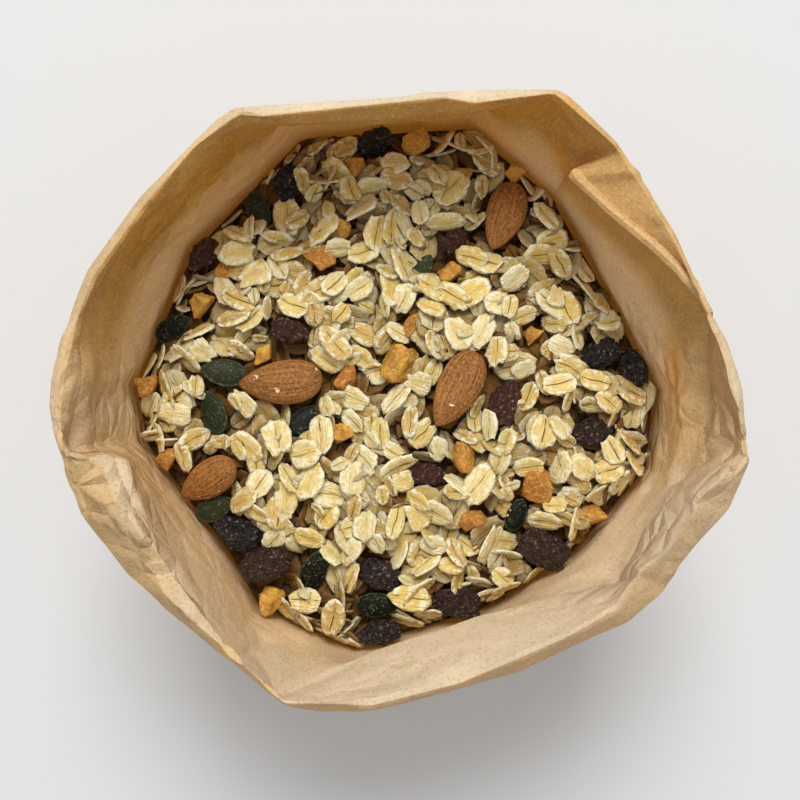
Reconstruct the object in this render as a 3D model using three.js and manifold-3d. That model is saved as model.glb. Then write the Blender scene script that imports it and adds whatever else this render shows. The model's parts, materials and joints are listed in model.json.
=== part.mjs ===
// A brown paper bag that stands open, its top rolled down into a cuff, filled with muesli.
// Millimetres, +Z up. The origin is on the standing surface, under the middle of the bag.
// +X is the bag's long side, -Y its front.

import * as THREE from 'three';
import { mergeVertices } from 'three/addons/utils/BufferGeometryUtils.js';
import Module from 'manifold-3d';

const wasm = await Module();
wasm.setup();

// ---- Driving dimensions ----------------------------------------------------

const PAPER = 1.0; // wall thickness, the folded sheets taken together
const BASE_LENGTH = 148; // block bottom of the bag, along X
const BASE_WIDTH = 118; // and along Y
const BASE_CORNER = 30; // radius of the upright corners at the bottom
const BASE_ROUND = 2; // how far the floor edge is drawn in
const BELLY_HEIGHT = 92; // level of the widest section, where the muesli meets the paper
const WALL_LEVELS = [3, 32, 64, BELLY_HEIGHT]; // levels where the wall is bent
const NECK_HEIGHT = 118; // level where the wall leans out into the cuff
const CUFF_DEPTH = 27; // how far the rolled cuff hangs down outside
const CUFF_GAP = 1.6; // free space between the cuff and the wall behind it
const CUFF_HANG = 2.5; // how far the cuff's lower edge is drawn in under its bulge
const CUFF_BULGE = 0.6; // share of its depth over which the cuff's face stays upright
const CUFF_FOLD = 4; // how far under the rim the wall turns over into the cuff
const CUFF_SHOULDER = 6; // how far under the rim the cuff's face begins
// The rounded top of the cuff: [share of the cuff's width from its outer edge, drop].
const CUFF_TOP = [[0.35, 1], [0.8, 0], [1, 1.5]];
const PAPER_STEP = 0.5; // smallest step in height between two bends of the cuff
const STATION_STEP = 7.5; // largest angle between two stations round the bag, degrees

const FILL_EDGE = 86; // level of the muesli core where it meets the paper
const FILL_MOUND = 7; // how much higher the core is in the middle
const FILL_GAP = 0.4; // clearance between paper and core
const MOUND_POWER = 2.4; // the higher, the flatter the mound's top
const LUMP = { height: 0.9, spanX: 9.5, spanY: 11, diagonal: 6.5, fade: 6 }; // soft unevenness
const CORE_RINGS = [0.9, 0.78, 0.65, 0.52, 0.39, 0.26, 0.13]; // shares of the core's radius

const FLAKE = { length: 9.6, width: 7.2, thickness: 1.1, sides: 7, count: 170, spacing: 6.6 };
const FLAKE_TILT = { least: 0.15, range: 0.5 }; // radians, doubled beside the paper
const FLAKE_SPREAD = 0.3; // range of the flakes' sizes, as a share of the mean
const FLAKE_CURL = 0.08; // how far a flake's ends are drawn up, as a share of its length
const FLAKE_EDGE = 0.6; // thickness of a flake's rim, as a share of its thickness
const FLAKE_SHOWING = 0.24; // how far a tilted flake's middle stands off the core
const FLAKE_TRIES = 40; // places tried for each flake
const SMOOTHING = 0.05; // how far the heap's surface may move when slivers are removed
const TOPPING_GAP = 0.5; // clearance under and around each topping
const BEND_MARGIN = 0.3; // what the wall's facets cut off its outline at a bend
const TOPPING_LEAN = 0.2; // largest extra tilt of a topping, radians
const INWARD_STEP = 0.005; // share of its distance by which a topping is moved in at a time
const SLOPE_REACH = 4; // distance over which the core's slope is taken
const WELD = 1e-4; // vertices nearer than this are one
const SEED = 20;

// Bends of the cuff's outer edge, counter-clockwise from +X: [x, y, height, cuff width].
const RIM_BENDS = [
  [88.7, -3.3, 137, 3.5], [82, 17.5, 137, 4], [70, 40, 138, 5.5], [57, 61, 139, 5],
  [40.5, 77, 141, 4], [0, 75, 141, 5], [-42.5, 71.7, 141, 4.5], [-65.5, 51.7, 139, 3.5],
  [-79.7, 30.3, 138, 3.5], [-89.4, 3.4, 137, 4.5], [-89.7, -4.6, 137, 5], [-87, -15.3, 138, 3.5],
  [-73.5, -40, 136, 5], [-45.8, -67, 136, 4.5], [-29.7, -80.5, 137, 3.5], [-14, -82.3, 136, 4.5],
  [16.7, -75.3, 136, 6.5], [54, -62, 136, 6.5], [68.5, -50.8, 136, 4.5], [85.3, -29, 137, 7.5],
  [89.4, -17.4, 138, 4],
];

// Bends of the inside of the belly, where the muesli meets the paper: [x, y].
const BELLY_BENDS = [
  [77.5, 1], [66, 24], [46, 60], [21, 81], [-30, 78], [-63, 43], [-80, 2],
  [-77.5, -15], [-52, -48], [-43, -65], [-14, -78], [25, -66], [52, -49], [75, -23],
];

// What lies on top, where it lies and how it is turned: [x, y, heading in degrees, size].
const ALMONDS = [
  [-34.5, 3, 184, 1.0], [16.5, 1, 240, 1.0], [30.5, 51.5, 250, 0.9], [-58.5, -26.5, 215, 0.85],
];
const RAISINS = [
  [-32, 18, 160, 0.95], [-61.5, 43, 55, 0.9], [-33.5, 61.5, 90, 0.8],
  [-7.5, 75.5, 15, 0.8], [15.5, 44, 40, 0.65], [30.8, -2.3, 75, 1.0], [58.5, 11.5, 30, 0.95],
  [68.8, 7.5, 120, 0.8], [7.5, -23.5, 170, 0.75], [42.5, -46.5, 150, 1.15],
  [17, -62.5, 170, 1.05], [-6, -52.8, 160, 0.95], [-48, -41.5, 165, 1.0],
  [-39, -50, 195, 1.1], [-6, -72.5, 8, 0.85], [56, -11.5, 0, 0.9],
];
const PUMPKIN_SEEDS = [
  [-51.5, 6, 170, 1.0], [-54.5, -5.5, 110, 0.95], [-28.5, -8.5, 50, 0.9], [-68, 19.5, 30, 0.85],
  [-42, 54, 110, 0.85], [6.5, 36.5, 55, 0.65], [-25, -51.5, 70, 0.95], [-6.5, -62, 5, 0.95],
  [-58, -36, 25, 0.9], [34, -35.5, 70, 0.75],
];
const FRUIT_PIECES = [
  [-23, 39, 20, 1.0], [-51.5, 35.5, 60, 0.8], [-58.5, 26.5, 40, 0.8], [-40, 11, 10, 0.7],
  [-75.5, 2, 30, 0.8], [-15.5, 4.5, 70, 0.75], [-17, -11.5, 30, 0.8], [-0.7, 8.5, 35, 1.1],
  [3.6, 19.5, 100, 0.8], [-14, 66, 15, 0.7], [5, 73.5, 30, 0.9], [18, 64, 70, 0.75],
  [36.5, 70, 20, 0.55], [14.6, 35, 50, 0.7], [-17, 47.5, 80, 0.65], [38.5, 17, 50, 0.6],
  [57, -36, 45, 0.75], [40, -27.5, 60, 1.0], [18, -18.5, 100, 0.9], [21, -37, 40, 0.75],
  [-39.5, -62, 80, 0.8], [-72, -20, 60, 0.7],
];

const ALMOND = { length: 24.5, width: 13.2, thickness: 8.2, taper: 0.45 };
const RAISIN = { length: 14.5, width: 9.5, thickness: 5.4, dent: 0.1, wrinkle: 0.06 };
const PUMPKIN_SEED = { length: 14, width: 8.6, thickness: 2.6, taper: 0.5 };
const FRUIT_PIECE = { length: 8.6, width: 7.4, thickness: 4.6, shrink: 0.06, skewX: 0.5, skewY: 0.4 };
const TAPER_POWER = 1.6; // the higher, the nearer its point a seed begins to taper

// ---- Outlines and sections ----------------------------------------------------

function seededRandom(seed) {
  let state = seed;
  return () => {
    state = (state * 1664525 + 1013904223) % 4294967296;
    return state / 4294967296;
  };
}

const polarAngle = (x, y) => (Math.atan2(y, x) + 2 * Math.PI) % (2 * Math.PI);

// The values of a closed outline of bends at one angle: [radius, ...the bends' further values].
function outlineAt(bends, angle) {
  for (let i = 0; i < bends.length; i++) {
    const a = bends[i];
    const b = bends[(i + 1) % bends.length];
    const span = (polarAngle(b[0], b[1]) - polarAngle(a[0], a[1]) + 2 * Math.PI) % (2 * Math.PI);
    const into = (angle - polarAngle(a[0], a[1]) + 2 * Math.PI) % (2 * Math.PI);
    if (into > span) continue;
    const edge = [b[0] - a[0], b[1] - a[1]];
    const ray = [Math.cos(angle), Math.sin(angle)];
    const cross = ray[0] * edge[1] - ray[1] * edge[0];
    const radius = (a[0] * edge[1] - a[1] * edge[0]) / cross;
    const along = Math.hypot(radius * ray[0] - a[0], radius * ray[1] - a[1]) / Math.hypot(...edge);
    return [radius, ...a.slice(2).map((value, k) => value + (b[k + 2] - value) * along)];
  }
  throw new Error('the outline does not go round the origin');
}

// Radius of the block bottom, a rectangle with round corners, at one angle.
function baseRadius(angle) {
  const c = Math.abs(Math.cos(angle));
  const s = Math.abs(Math.sin(angle));
  const halfLength = BASE_LENGTH / 2;
  const halfWidth = BASE_WIDTH / 2;
  const straight = Math.min(halfLength / c, halfWidth / s);
  const cornerX = halfLength - BASE_CORNER;
  const cornerY = halfWidth - BASE_CORNER;
  if (straight * c <= cornerX || straight * s <= cornerY) return straight;
  const middle = cornerX * c + cornerY * s;
  const offside = cornerX ** 2 + cornerY ** 2 - middle ** 2;
  return middle + Math.sqrt(BASE_CORNER ** 2 - offside);
}

// Every bend of the rim is a station, and the stretches between are split evenly.
function stationAngles() {
  const bends = RIM_BENDS.map(([x, y]) => polarAngle(x, y)).sort((a, b) => a - b);
  const step = THREE.MathUtils.degToRad(STATION_STEP);
  return bends.flatMap((from, i) => {
    const to = i + 1 < bends.length ? bends[i + 1] : bends[0] + 2 * Math.PI;
    const parts = Math.max(1, Math.ceil((to - from) / step));
    return Array.from({ length: parts }, (_, k) => from + ((to - from) * k) / parts);
  });
}

const STATIONS = stationAngles();

// Radius of the inside of the paper at one angle and height, straight between two levels.
function innerRadius(angle, height) {
  const [belly] = outlineAt(BELLY_BENDS, angle);
  if (height > BELLY_HEIGHT) {
    const [rim, rimHeight, cuffWidth] = outlineAt(RIM_BENDS, angle);
    const rise = (height - BELLY_HEIGHT) / (rimHeight - BELLY_HEIGHT);
    return THREE.MathUtils.lerp(belly, rim - cuffWidth, Math.min(1, rise));
  }
  const above = WALL_LEVELS.findIndex((level, i) => i > 0 && height <= level);
  const [low, high] = [WALL_LEVELS[above - 1], WALL_LEVELS[above]];
  const bulgeAt = (level) => Math.sin((level / BELLY_HEIGHT) * (Math.PI / 2));
  const rise = Math.max(0, (height - low) / (high - low));
  const bulge = THREE.MathUtils.lerp(bulgeAt(low), bulgeAt(high), rise);
  return THREE.MathUtils.lerp(baseRadius(angle) - PAPER, belly, bulge);
}

// ---- Solids --------------------------------------------------------------------

// A closed skin over rings of points, each ring a point per station; one point closes an end.
// Facets are split alike whether the rings rise or fall, so that core and paper match.
function skin(rings) {
  const positions = [];
  const starts = rings.map((ring) => {
    const start = positions.length / 3;
    ring.forEach((point) => positions.push(point.x, point.y, point.z));
    return start;
  });
  const triangles = [];
  for (let r = 0; r + 1 < rings.length; r++) {
    const lower = rings[r].length;
    const upper = rings[r + 1].length;
    const count = Math.max(lower, upper);
    for (let k = 0; k < count; k++) {
      const next = (k + 1) % count;
      const a = starts[r] + (lower > 1 ? k : 0);
      const b = starts[r] + (lower > 1 ? next : 0);
      const c = starts[r + 1] + (upper > 1 ? next : 0);
      const d = starts[r + 1] + (upper > 1 ? k : 0);
      if (lower === 1 || upper === 1) {
        triangles.push(a, lower === 1 ? c : b, upper === 1 ? c : d);
        continue;
      }
      const rising = rings[r][k].z <= rings[r + 1][k].z;
      triangles.push(...(rising ? [a, b, c, a, c, d] : [a, b, d, b, c, d]));
    }
  }
  const geometry = new THREE.BufferGeometry();
  geometry.setAttribute('position', new THREE.Float32BufferAttribute(positions, 3));
  geometry.setIndex(triangles);
  return geometry;
}

const ringOf = (radiusAt, heightAt) => STATIONS.map((angle) => {
  const radius = radiusAt(angle);
  return new THREE.Vector3(radius * Math.cos(angle), radius * Math.sin(angle), heightAt(angle));
});

// The bag: up the outside, under and over the cuff, down the inside, across the floor.
function bagGeometry() {
  const rimAt = (angle) => outlineAt(RIM_BENDS, angle);
  const wall = (height) => ringOf((a) => innerRadius(a, height) + PAPER, () => height);
  const inside = (height) => ringOf((a) => innerRadius(a, height), () => height);
  const rim = (inset, drop) => ringOf((a) => rimAt(a)[0] - inset(a), (a) => rimAt(a)[1] - drop);
  const cuffWidth = (a) => rimAt(a)[2];
  const behindCuff = (drop) => ringOf(
    (a) => innerRadius(a, rimAt(a)[1] - drop) + PAPER,
    (a) => rimAt(a)[1] - drop,
  );
  // The inner face of the cuff stays clear of the wall behind it.
  const cuffBack = (drop) => ringOf((a) => {
    const height = rimAt(a)[1] - drop;
    return Math.max(innerRadius(a, height) + PAPER + CUFF_GAP, rimAt(a)[0] - cuffWidth(a));
  }, (a) => rimAt(a)[1] - drop);
  const cuffFace = (drop, inset) => ringOf((a) => {
    const height = rimAt(a)[1] - drop;
    const behind = innerRadius(a, height) + PAPER + CUFF_GAP + PAPER;
    return Math.max(behind, rimAt(a)[0] - inset);
  }, (a) => rimAt(a)[1] - drop);
  return skin([
    [new THREE.Vector3(0, 0, 0)],
    ringOf((a) => baseRadius(a) - BASE_ROUND, () => 0),
    ringOf((a) => baseRadius(a), () => BASE_ROUND),
    ...WALL_LEVELS.slice(1).map(wall),
    behindCuff(CUFF_DEPTH), behindCuff(CUFF_FOLD),
    cuffBack(CUFF_FOLD - PAPER_STEP), cuffBack(CUFF_DEPTH - PAPER),
    cuffFace(CUFF_DEPTH, CUFF_HANG), cuffFace(CUFF_DEPTH * CUFF_BULGE, 0),
    cuffFace(CUFF_SHOULDER, 0),
    ...CUFF_TOP.map(([share, drop]) => rim((a) => share * cuffWidth(a), drop)),
    inside(NECK_HEIGHT), ...WALL_LEVELS.map(inside).reverse(),
    ringOf((a) => innerRadius(a, WALL_LEVELS[0]) - BASE_ROUND, () => PAPER),
    [new THREE.Vector3(0, 0, PAPER)],
  ]);
}

// Level of the bare core of the muesli: a mound that sinks to the paper, softly uneven.
function coreLevel(x, y) {
  const share = Math.min(1, Math.hypot(x, y) / innerRadius(polarAngle(x, y), FILL_EDGE));
  const crossing = Math.sin(x / LUMP.spanX + 1.3) * Math.cos(y / LUMP.spanY + 0.4);
  const lumps = LUMP.height * (crossing + 0.6 * Math.sin((x - y) / LUMP.diagonal));
  return FILL_EDGE + FILL_MOUND * (1 - share ** MOUND_POWER) + lumps * (1 - share ** LUMP.fade);
}

const CORE_FLOOR = PAPER + FILL_GAP;

function coreGeometry() {
  const side = (height) => ringOf((a) => innerRadius(a, height) - FILL_GAP, () => height);
  const levelRing = (share) => STATIONS.map((angle) => {
    const radius = share * (innerRadius(angle, FILL_EDGE) - FILL_GAP);
    const [x, y] = [radius * Math.cos(angle), radius * Math.sin(angle)];
    return new THREE.Vector3(x, y, coreLevel(x, y));
  });
  return skin([
    [new THREE.Vector3(0, 0, CORE_FLOOR)],
    ringOf((a) => innerRadius(a, WALL_LEVELS[0]) - BASE_ROUND - FILL_GAP, () => CORE_FLOOR),
    ...WALL_LEVELS.slice(0, -1).map((level) => side(level + FILL_GAP)),
    side(FILL_EDGE - 1),
    ...CORE_RINGS.map(levelRing),
    [new THREE.Vector3(0, 0, coreLevel(0, 0))],
  ]);
}

// An oat flake: a thin oval with a rim of two edges, drawn up a little at its ends.
function flakeGeometry(length, width) {
  const rim = (height) => Array.from({ length: FLAKE.sides }, (_, k) => {
    const turn = (2 * Math.PI * k) / FLAKE.sides;
    const curl = FLAKE_CURL * length * Math.cos(turn) ** 2;
    return new THREE.Vector3(
      (length / 2) * Math.cos(turn), (width / 2) * Math.sin(turn), height + curl,
    );
  });
  const half = FLAKE.thickness / 2;
  return skin([
    [new THREE.Vector3(0, 0, -half)],
    rim(-half * FLAKE_EDGE),
    rim(half * FLAKE_EDGE),
    [new THREE.Vector3(0, 0, half)],
  ]);
}

// A ball with its vertices moved by a rule, the start of almonds, raisins and seeds.
function shapedBall(ball, size, rule) {
  const geometry = ball.clone();
  const position = geometry.attributes.position;
  const point = new THREE.Vector3();
  for (let i = 0; i < position.count; i++) {
    rule(point.fromBufferAttribute(position, i));
    point.set(point.x * size.length / 2, point.y * size.width / 2, point.z * size.thickness / 2);
    position.setXYZ(i, point.x, point.y, point.z);
  }
  return bare(geometry);
}

// Only positions, with shared vertices merged.
function bare(geometry) {
  const copy = geometry.index ? geometry : geometry.clone();
  ['normal', 'uv'].forEach((name) => copy.deleteAttribute(name));
  return mergeVertices(copy, WELD);
}

// An almond or a seed comes to a point at +X.
function pointed(taperShare) {
  return (point) => {
    const taper = 1 - taperShare * Math.max(0, point.x) ** TAPER_POWER;
    point.y *= taper;
    point.z *= taper;
  };
}

const LONG_BALL = new THREE.SphereGeometry(1, 10, 7).rotateZ(-Math.PI / 2);
const SEED_BALL = new THREE.SphereGeometry(1, 8, 5).rotateZ(-Math.PI / 2);

const TOPPING_KINDS = {
  almond: {
    rows: ALMONDS, size: ALMOND, colour: 0xa5693a, roughness: 0.6,
    make: () => shapedBall(LONG_BALL, ALMOND, pointed(ALMOND.taper)),
  },
  raisin: {
    rows: RAISINS, size: RAISIN, colour: 0x2c1c1c, roughness: 0.55,
    make: (random) => {
      const phases = [random() * 6, random() * 6, random() * 6];
      return shapedBall(new THREE.IcosahedronGeometry(1, 1), RAISIN, (point) => {
        const dent = Math.sin(3.1 * point.x + phases[0]) * Math.sin(3.7 * point.y + phases[1]);
        const wrinkle = Math.sin(4.3 * point.z + phases[2]);
        point.multiplyScalar(1 + RAISIN.dent * dent + RAISIN.wrinkle * wrinkle);
      });
    },
  },
  pumpkin_seed: {
    rows: PUMPKIN_SEEDS, size: PUMPKIN_SEED, colour: 0x2e3a2a, roughness: 0.5,
    make: () => shapedBall(SEED_BALL, PUMPKIN_SEED, pointed(PUMPKIN_SEED.taper)),
  },
  dried_fruit: {
    rows: FRUIT_PIECES, size: FRUIT_PIECE, colour: 0xd79a3c, roughness: 0.5,
    make: (random) => {
      const skewX = FRUIT_PIECE.skewX * (random() - 0.5);
      const skewY = FRUIT_PIECE.skewY * (random() - 0.5);
      return shapedBall(new THREE.BoxGeometry(2, 2, 2, 2, 2, 1), FRUIT_PIECE, (point) => {
        const inset = 1 - FRUIT_PIECE.shrink * (point.x ** 2 + point.y ** 2);
        const [x, y] = [point.x + skewX * point.z, point.y + skewY * point.x];
        point.set(x * inset, y * inset, point.z);
      });
    },
  },
};

function toManifold(geometry) {
  return new wasm.Manifold(new wasm.Mesh({
    numProp: 3,
    vertProperties: new Float32Array(geometry.attributes.position.array),
    triVerts: new Uint32Array(geometry.index.array),
  }));
}

function toGeometry(manifold) {
  const mesh = manifold.getMesh();
  const geometry = new THREE.BufferGeometry();
  geometry.setAttribute('position', new THREE.BufferAttribute(mesh.vertProperties, 3));
  geometry.setIndex(new THREE.BufferAttribute(mesh.triVerts, 1));
  return geometry;
}

// ---- Placing things on the core ------------------------------------------------

// Upward direction of the core's slope at a place.
function coreNormal(x, y) {
  const fallX = coreLevel(x - SLOPE_REACH, y) - coreLevel(x + SLOPE_REACH, y);
  const fallY = coreLevel(x, y - SLOPE_REACH) - coreLevel(x, y + SLOPE_REACH);
  return new THREE.Vector3(fallX, fallY, 2 * SLOPE_REACH).normalize();
}

function turned(normal, heading, tilt, tiltHeading) {
  const axis = new THREE.Vector3(Math.cos(tiltHeading), Math.sin(tiltHeading), 0);
  const spin = new THREE.Quaternion().setFromAxisAngle(new THREE.Vector3(0, 0, 1), heading);
  const lean = new THREE.Quaternion().setFromAxisAngle(axis, tilt);
  const slope = new THREE.Quaternion().setFromUnitVectors(new THREE.Vector3(0, 0, 1), normal);
  return slope.multiply(lean).multiply(spin);
}

function verticesOf(geometry, matrix) {
  const position = geometry.attributes.position;
  return Array.from({ length: position.count }, (_, i) => (
    new THREE.Vector3().fromBufferAttribute(position, i).applyMatrix4(matrix)
  ));
}

const insidePaper = (points, gap) => points.every((point) => (
  Math.hypot(point.x, point.y) + gap < innerRadius(polarAngle(point.x, point.y), point.z)
));

// A topping's mesh, moved in until it is clear of the paper and lowered on to the core.
function placedTopping(name, kind, row, random) {
  const [x, y, heading, scale] = row;
  const geometry = kind.make(random).scale(scale, scale, scale);
  const lean = TOPPING_LEAN * random();
  const leanHeading = 2 * Math.PI * random();
  const matrix = new THREE.Matrix4();
  const resting = (inward) => {
    const place = new THREE.Vector3(x * inward, y * inward, 0);
    const normal = coreNormal(place.x, place.y);
    const spin = turned(normal, THREE.MathUtils.degToRad(heading), lean, leanHeading);
    matrix.compose(place, spin, new THREE.Vector3(1, 1, 1));
    const depths = verticesOf(geometry, matrix).map((point) => coreLevel(point.x, point.y) - point.z);
    place.z = Math.max(...depths) + TOPPING_GAP;
    matrix.compose(place, spin, new THREE.Vector3(1, 1, 1));
  };
  let inward = 1;
  resting(inward);
  while (!insidePaper(verticesOf(geometry, matrix), TOPPING_GAP + BEND_MARGIN)) {
    inward -= INWARD_STEP;
    resting(inward);
  }
  const material = new THREE.MeshStandardMaterial({
    color: kind.colour, roughness: kind.roughness, metalness: 0,
  });
  const mesh = new THREE.Mesh(geometry, material);
  mesh.name = name;
  mesh.applyMatrix4(matrix);
  mesh.updateMatrixWorld();
  return mesh;
}

function toppingMeshes() {
  const random = seededRandom(SEED);
  return Object.entries(TOPPING_KINDS).flatMap(([kindName, kind]) => (
    kind.rows.map((row, i) => placedTopping(`${kindName}_${i + 1}`, kind, row, random))
  ));
}

// Flakes lie on the core and dip into it, flat in the middle and steeper beside the paper.
function flakeSolids(toppings) {
  const random = seededRandom(SEED + 1);
  const keepOut = toppings.map((mesh) => new THREE.Box3().setFromObject(mesh, true));
  const solids = [];
  const centres = [];
  const sizeShare = () => 1 + FLAKE_SPREAD * (random() - 0.5);
  for (let i = 0; solids.length < FLAKE.count && i < FLAKE.count * FLAKE_TRIES; i++) {
    const angle = 2 * Math.PI * random();
    const share = Math.sqrt(random());
    const radius = share * (innerRadius(angle, FILL_EDGE) - FLAKE.length / 2);
    const [x, y] = [radius * Math.cos(angle), radius * Math.sin(angle)];
    if (centres.some(([cx, cy]) => Math.hypot(cx - x, cy - y) < FLAKE.spacing)) continue;
    const length = FLAKE.length * sizeShare();
    const width = FLAKE.width * sizeShare();
    const tilt = (FLAKE_TILT.least + FLAKE_TILT.range * random()) * (1 + share ** LUMP.fade);
    const spin = turned(coreNormal(x, y), 2 * Math.PI * random(), tilt, 2 * Math.PI * random());
    const rise = FLAKE_SHOWING * length * Math.sin(tilt);
    const matrix = new THREE.Matrix4().compose(
      new THREE.Vector3(x, y, coreLevel(x, y) + rise), spin, new THREE.Vector3(1, 1, 1),
    );
    const geometry = flakeGeometry(length, width).applyMatrix4(matrix);
    const points = verticesOf(geometry, new THREE.Matrix4());
    const box = new THREE.Box3().setFromPoints(points).expandByScalar(TOPPING_GAP);
    if (!insidePaper(points, FILL_GAP + BEND_MARGIN)) continue;
    if (keepOut.some((other) => other.intersectsBox(box))) continue;
    centres.push([x, y]);
    solids.push(toManifold(geometry));
  }
  return solids;
}

// Only the largest connected shell of a mesh, so that scraps and sealed hollows are gone.
function outerShell(geometry) {
  const index = Array.from(geometry.index.array);
  const parent = Array.from({ length: geometry.attributes.position.count }, (_, i) => i);
  const rootOf = (vertex) => {
    let at = vertex;
    while (parent[at] !== at) at = parent[at] = parent[parent[at]];
    return at;
  };
  for (let t = 0; t < index.length; t += 3) {
    parent[rootOf(index[t + 1])] = rootOf(index[t]);
    parent[rootOf(index[t + 2])] = rootOf(index[t]);
  }
  const sizes = new Map();
  index.forEach((vertex) => sizes.set(rootOf(vertex), (sizes.get(rootOf(vertex)) || 0) + 1));
  const [largest] = [...sizes].reduce((best, entry) => (entry[1] > best[1] ? entry : best));
  geometry.setIndex(index.filter((vertex) => rootOf(vertex) === largest));
  return mergeVertices(geometry, WELD);
}

// The heap: core and flakes in one body.
function heapGeometry(toppings) {
  let heap = toManifold(coreGeometry());
  for (const flake of flakeSolids(toppings)) heap = heap.add(flake);
  return outerShell(toGeometry(heap.simplify(SMOOTHING)));
}

// ---- The object ------------------------------------------------------------------

function named(name, geometry, color, roughness) {
  const material = new THREE.MeshStandardMaterial({ color, roughness, metalness: 0 });
  const mesh = new THREE.Mesh(geometry, material);
  mesh.name = name;
  return mesh;
}

const bagOfMuesli = new THREE.Group();
const toppings = toppingMeshes();
bagOfMuesli.add(named('paper_bag', bagGeometry(), 0xc9a36c, 0.85));
bagOfMuesli.add(named('muesli', heapGeometry(toppings), 0xe4d3a8, 0.8));
bagOfMuesli.add(...toppings);

export default bagOfMuesli;
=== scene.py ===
"""A brown paper bag standing open, its top rolled down, full of muesli, seen from straight above."""

import json
import math

import bmesh
import bpy
import numpy as np
from mathutils import Euler, Matrix, Vector, geometry

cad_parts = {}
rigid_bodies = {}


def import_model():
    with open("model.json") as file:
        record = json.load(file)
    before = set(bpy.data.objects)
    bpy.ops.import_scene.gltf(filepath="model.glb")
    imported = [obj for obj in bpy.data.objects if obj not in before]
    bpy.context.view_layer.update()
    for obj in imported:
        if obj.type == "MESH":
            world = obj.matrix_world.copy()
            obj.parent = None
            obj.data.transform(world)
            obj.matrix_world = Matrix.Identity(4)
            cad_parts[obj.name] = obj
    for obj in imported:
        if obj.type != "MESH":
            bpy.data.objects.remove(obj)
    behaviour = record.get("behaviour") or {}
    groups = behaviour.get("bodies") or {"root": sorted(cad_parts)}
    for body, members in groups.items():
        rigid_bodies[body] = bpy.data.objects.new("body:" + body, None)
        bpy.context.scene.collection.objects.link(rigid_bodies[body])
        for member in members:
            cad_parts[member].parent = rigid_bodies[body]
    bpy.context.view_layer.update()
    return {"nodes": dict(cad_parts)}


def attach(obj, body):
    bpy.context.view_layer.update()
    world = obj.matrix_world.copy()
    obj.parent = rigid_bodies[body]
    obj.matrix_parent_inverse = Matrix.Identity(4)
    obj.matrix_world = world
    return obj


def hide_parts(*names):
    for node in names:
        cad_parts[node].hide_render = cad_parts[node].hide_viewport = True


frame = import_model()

bl_info = {
    "name": "Open Paper Bag of Muesli",
    "version": (1, 0, 0),
    "blender": (4, 5, 0),
    "location": "View3D > Sidebar > Muesli Bag",
    "description": "Builds a rolled-down paper bag full of muesli around its solid model",
    "category": "Object",
}

MM = 0.001
TURN = 2 * math.pi

# ---- The bag's shape, in millimetres -----------------------------------------

BASE_LENGTH = 148  # block bottom, along X
BASE_WIDTH = 118
BASE_CORNER = 30
BASE_INSET = 2  # how far the floor edge is drawn in
FLOOR_HEIGHT = 0.3  # the sheet's middle over the ground
BELLY_HEIGHT = 90  # where the muesli meets the paper
WALL_LEVELS = (3, 32, 64)  # bends of the wall below the belly
BELLY_RING = 5  # number of the belly among the rings of the sheet
CUFF_DEPTH = 27  # how far the rolled top hangs down outside
HEM_RISE = 9  # how far the hem is turned up again inside the cuff
CUFF_CLEARANCE = 2.4  # free space between the cuff and the wall behind it
FOLD_ROUNDING = 0.15  # share that each neighbour has in a point of the sheet
SHARP_FOLD = 13  # degrees from which a fold looks sharp
GIRTH = 530  # way round the sheet on which the dents are laid out
COARSE_DENTS = 15  # width of the dents
FINE_DENTS = 6
FINE_SHARE = 0.42  # height of the fine dents, beside the coarse ones
DENTS_OVER = 60  # length from the floor's middle over which the dents set in

# The rings of the cuff below its outermost line: [drop, inset, rows up to the next ring].
CUFF_RINGS = (
    (CUFF_DEPTH * 0.55, -0.3, 8), (CUFF_DEPTH, 1.8, 2), (CUFF_DEPTH - 0.6, 3.0, 4),
    (CUFF_DEPTH - HEM_RISE, 2.6, 0),
)

# Where the muesli meets the paper: [x, y].
BELLY = (
    (77.5, 1), (66, 24), (46, 60), (21, 81), (-30, 78), (-63, 43), (-80, 2), (-77.5, -15),
    (-52, -48), (-43, -65), (-14, -78), (25, -66), (52, -49), (75, -23),
)
# The first fold of the inner wall above the muesli: [x, y, height].
INNER_FOLD = (
    (78.9, -0.1, 110), (78.5, 6.3, 113), (79.5, 16, 125), (80.4, 20.5, 136), (78, 24.7, 136),
    (71.4, 32.1, 136), (64.6, 38.6, 135.5), (57.9, 44.2, 135), (53.8, 47.9, 134), (51.4, 50.6, 133),
    (47.9, 54.2, 132), (45.1, 57.8, 131), (48.5, 63.2, 104), (41.4, 73, 133),
    (38.8, 76.6, 134), (16.4, 72.4, 131), (-7.7, 70.3, 131), (-36.7, 69.9, 132), (-44.8, 67.3, 133),
    (-53.8, 57, 131), (-64.3, 46, 131), (-74.3, 34.9, 132), (-81.7, 21.4, 133), (-83.2, 13.6, 133),
    (-82.5, 2.4, 132), (-84.5, -12.5, 129), (-86.2, -15.1, 137), (-78, -15.6, 132),
    (-71.2, -18, 131.5),
    (-69.7, -22.7, 133), (-64.7, -36.9, 134.5), (-60.3, -44.3, 132), (-55.5, -52.2, 132),
    (-43, -67.6, 136), (-39.3, -71, 116), (-31.8, -78.6, 134), (-21.6, -75.7, 118),
    (-12.9, -73.3, 112), (22.2, -61.8, 112), (60.3, -51.5, 112), (65.4, -43.5, 112),
    (72.1, -29.1, 108), (75.5, -22.3, 106), (78.5, -13.1, 112),
)
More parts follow.
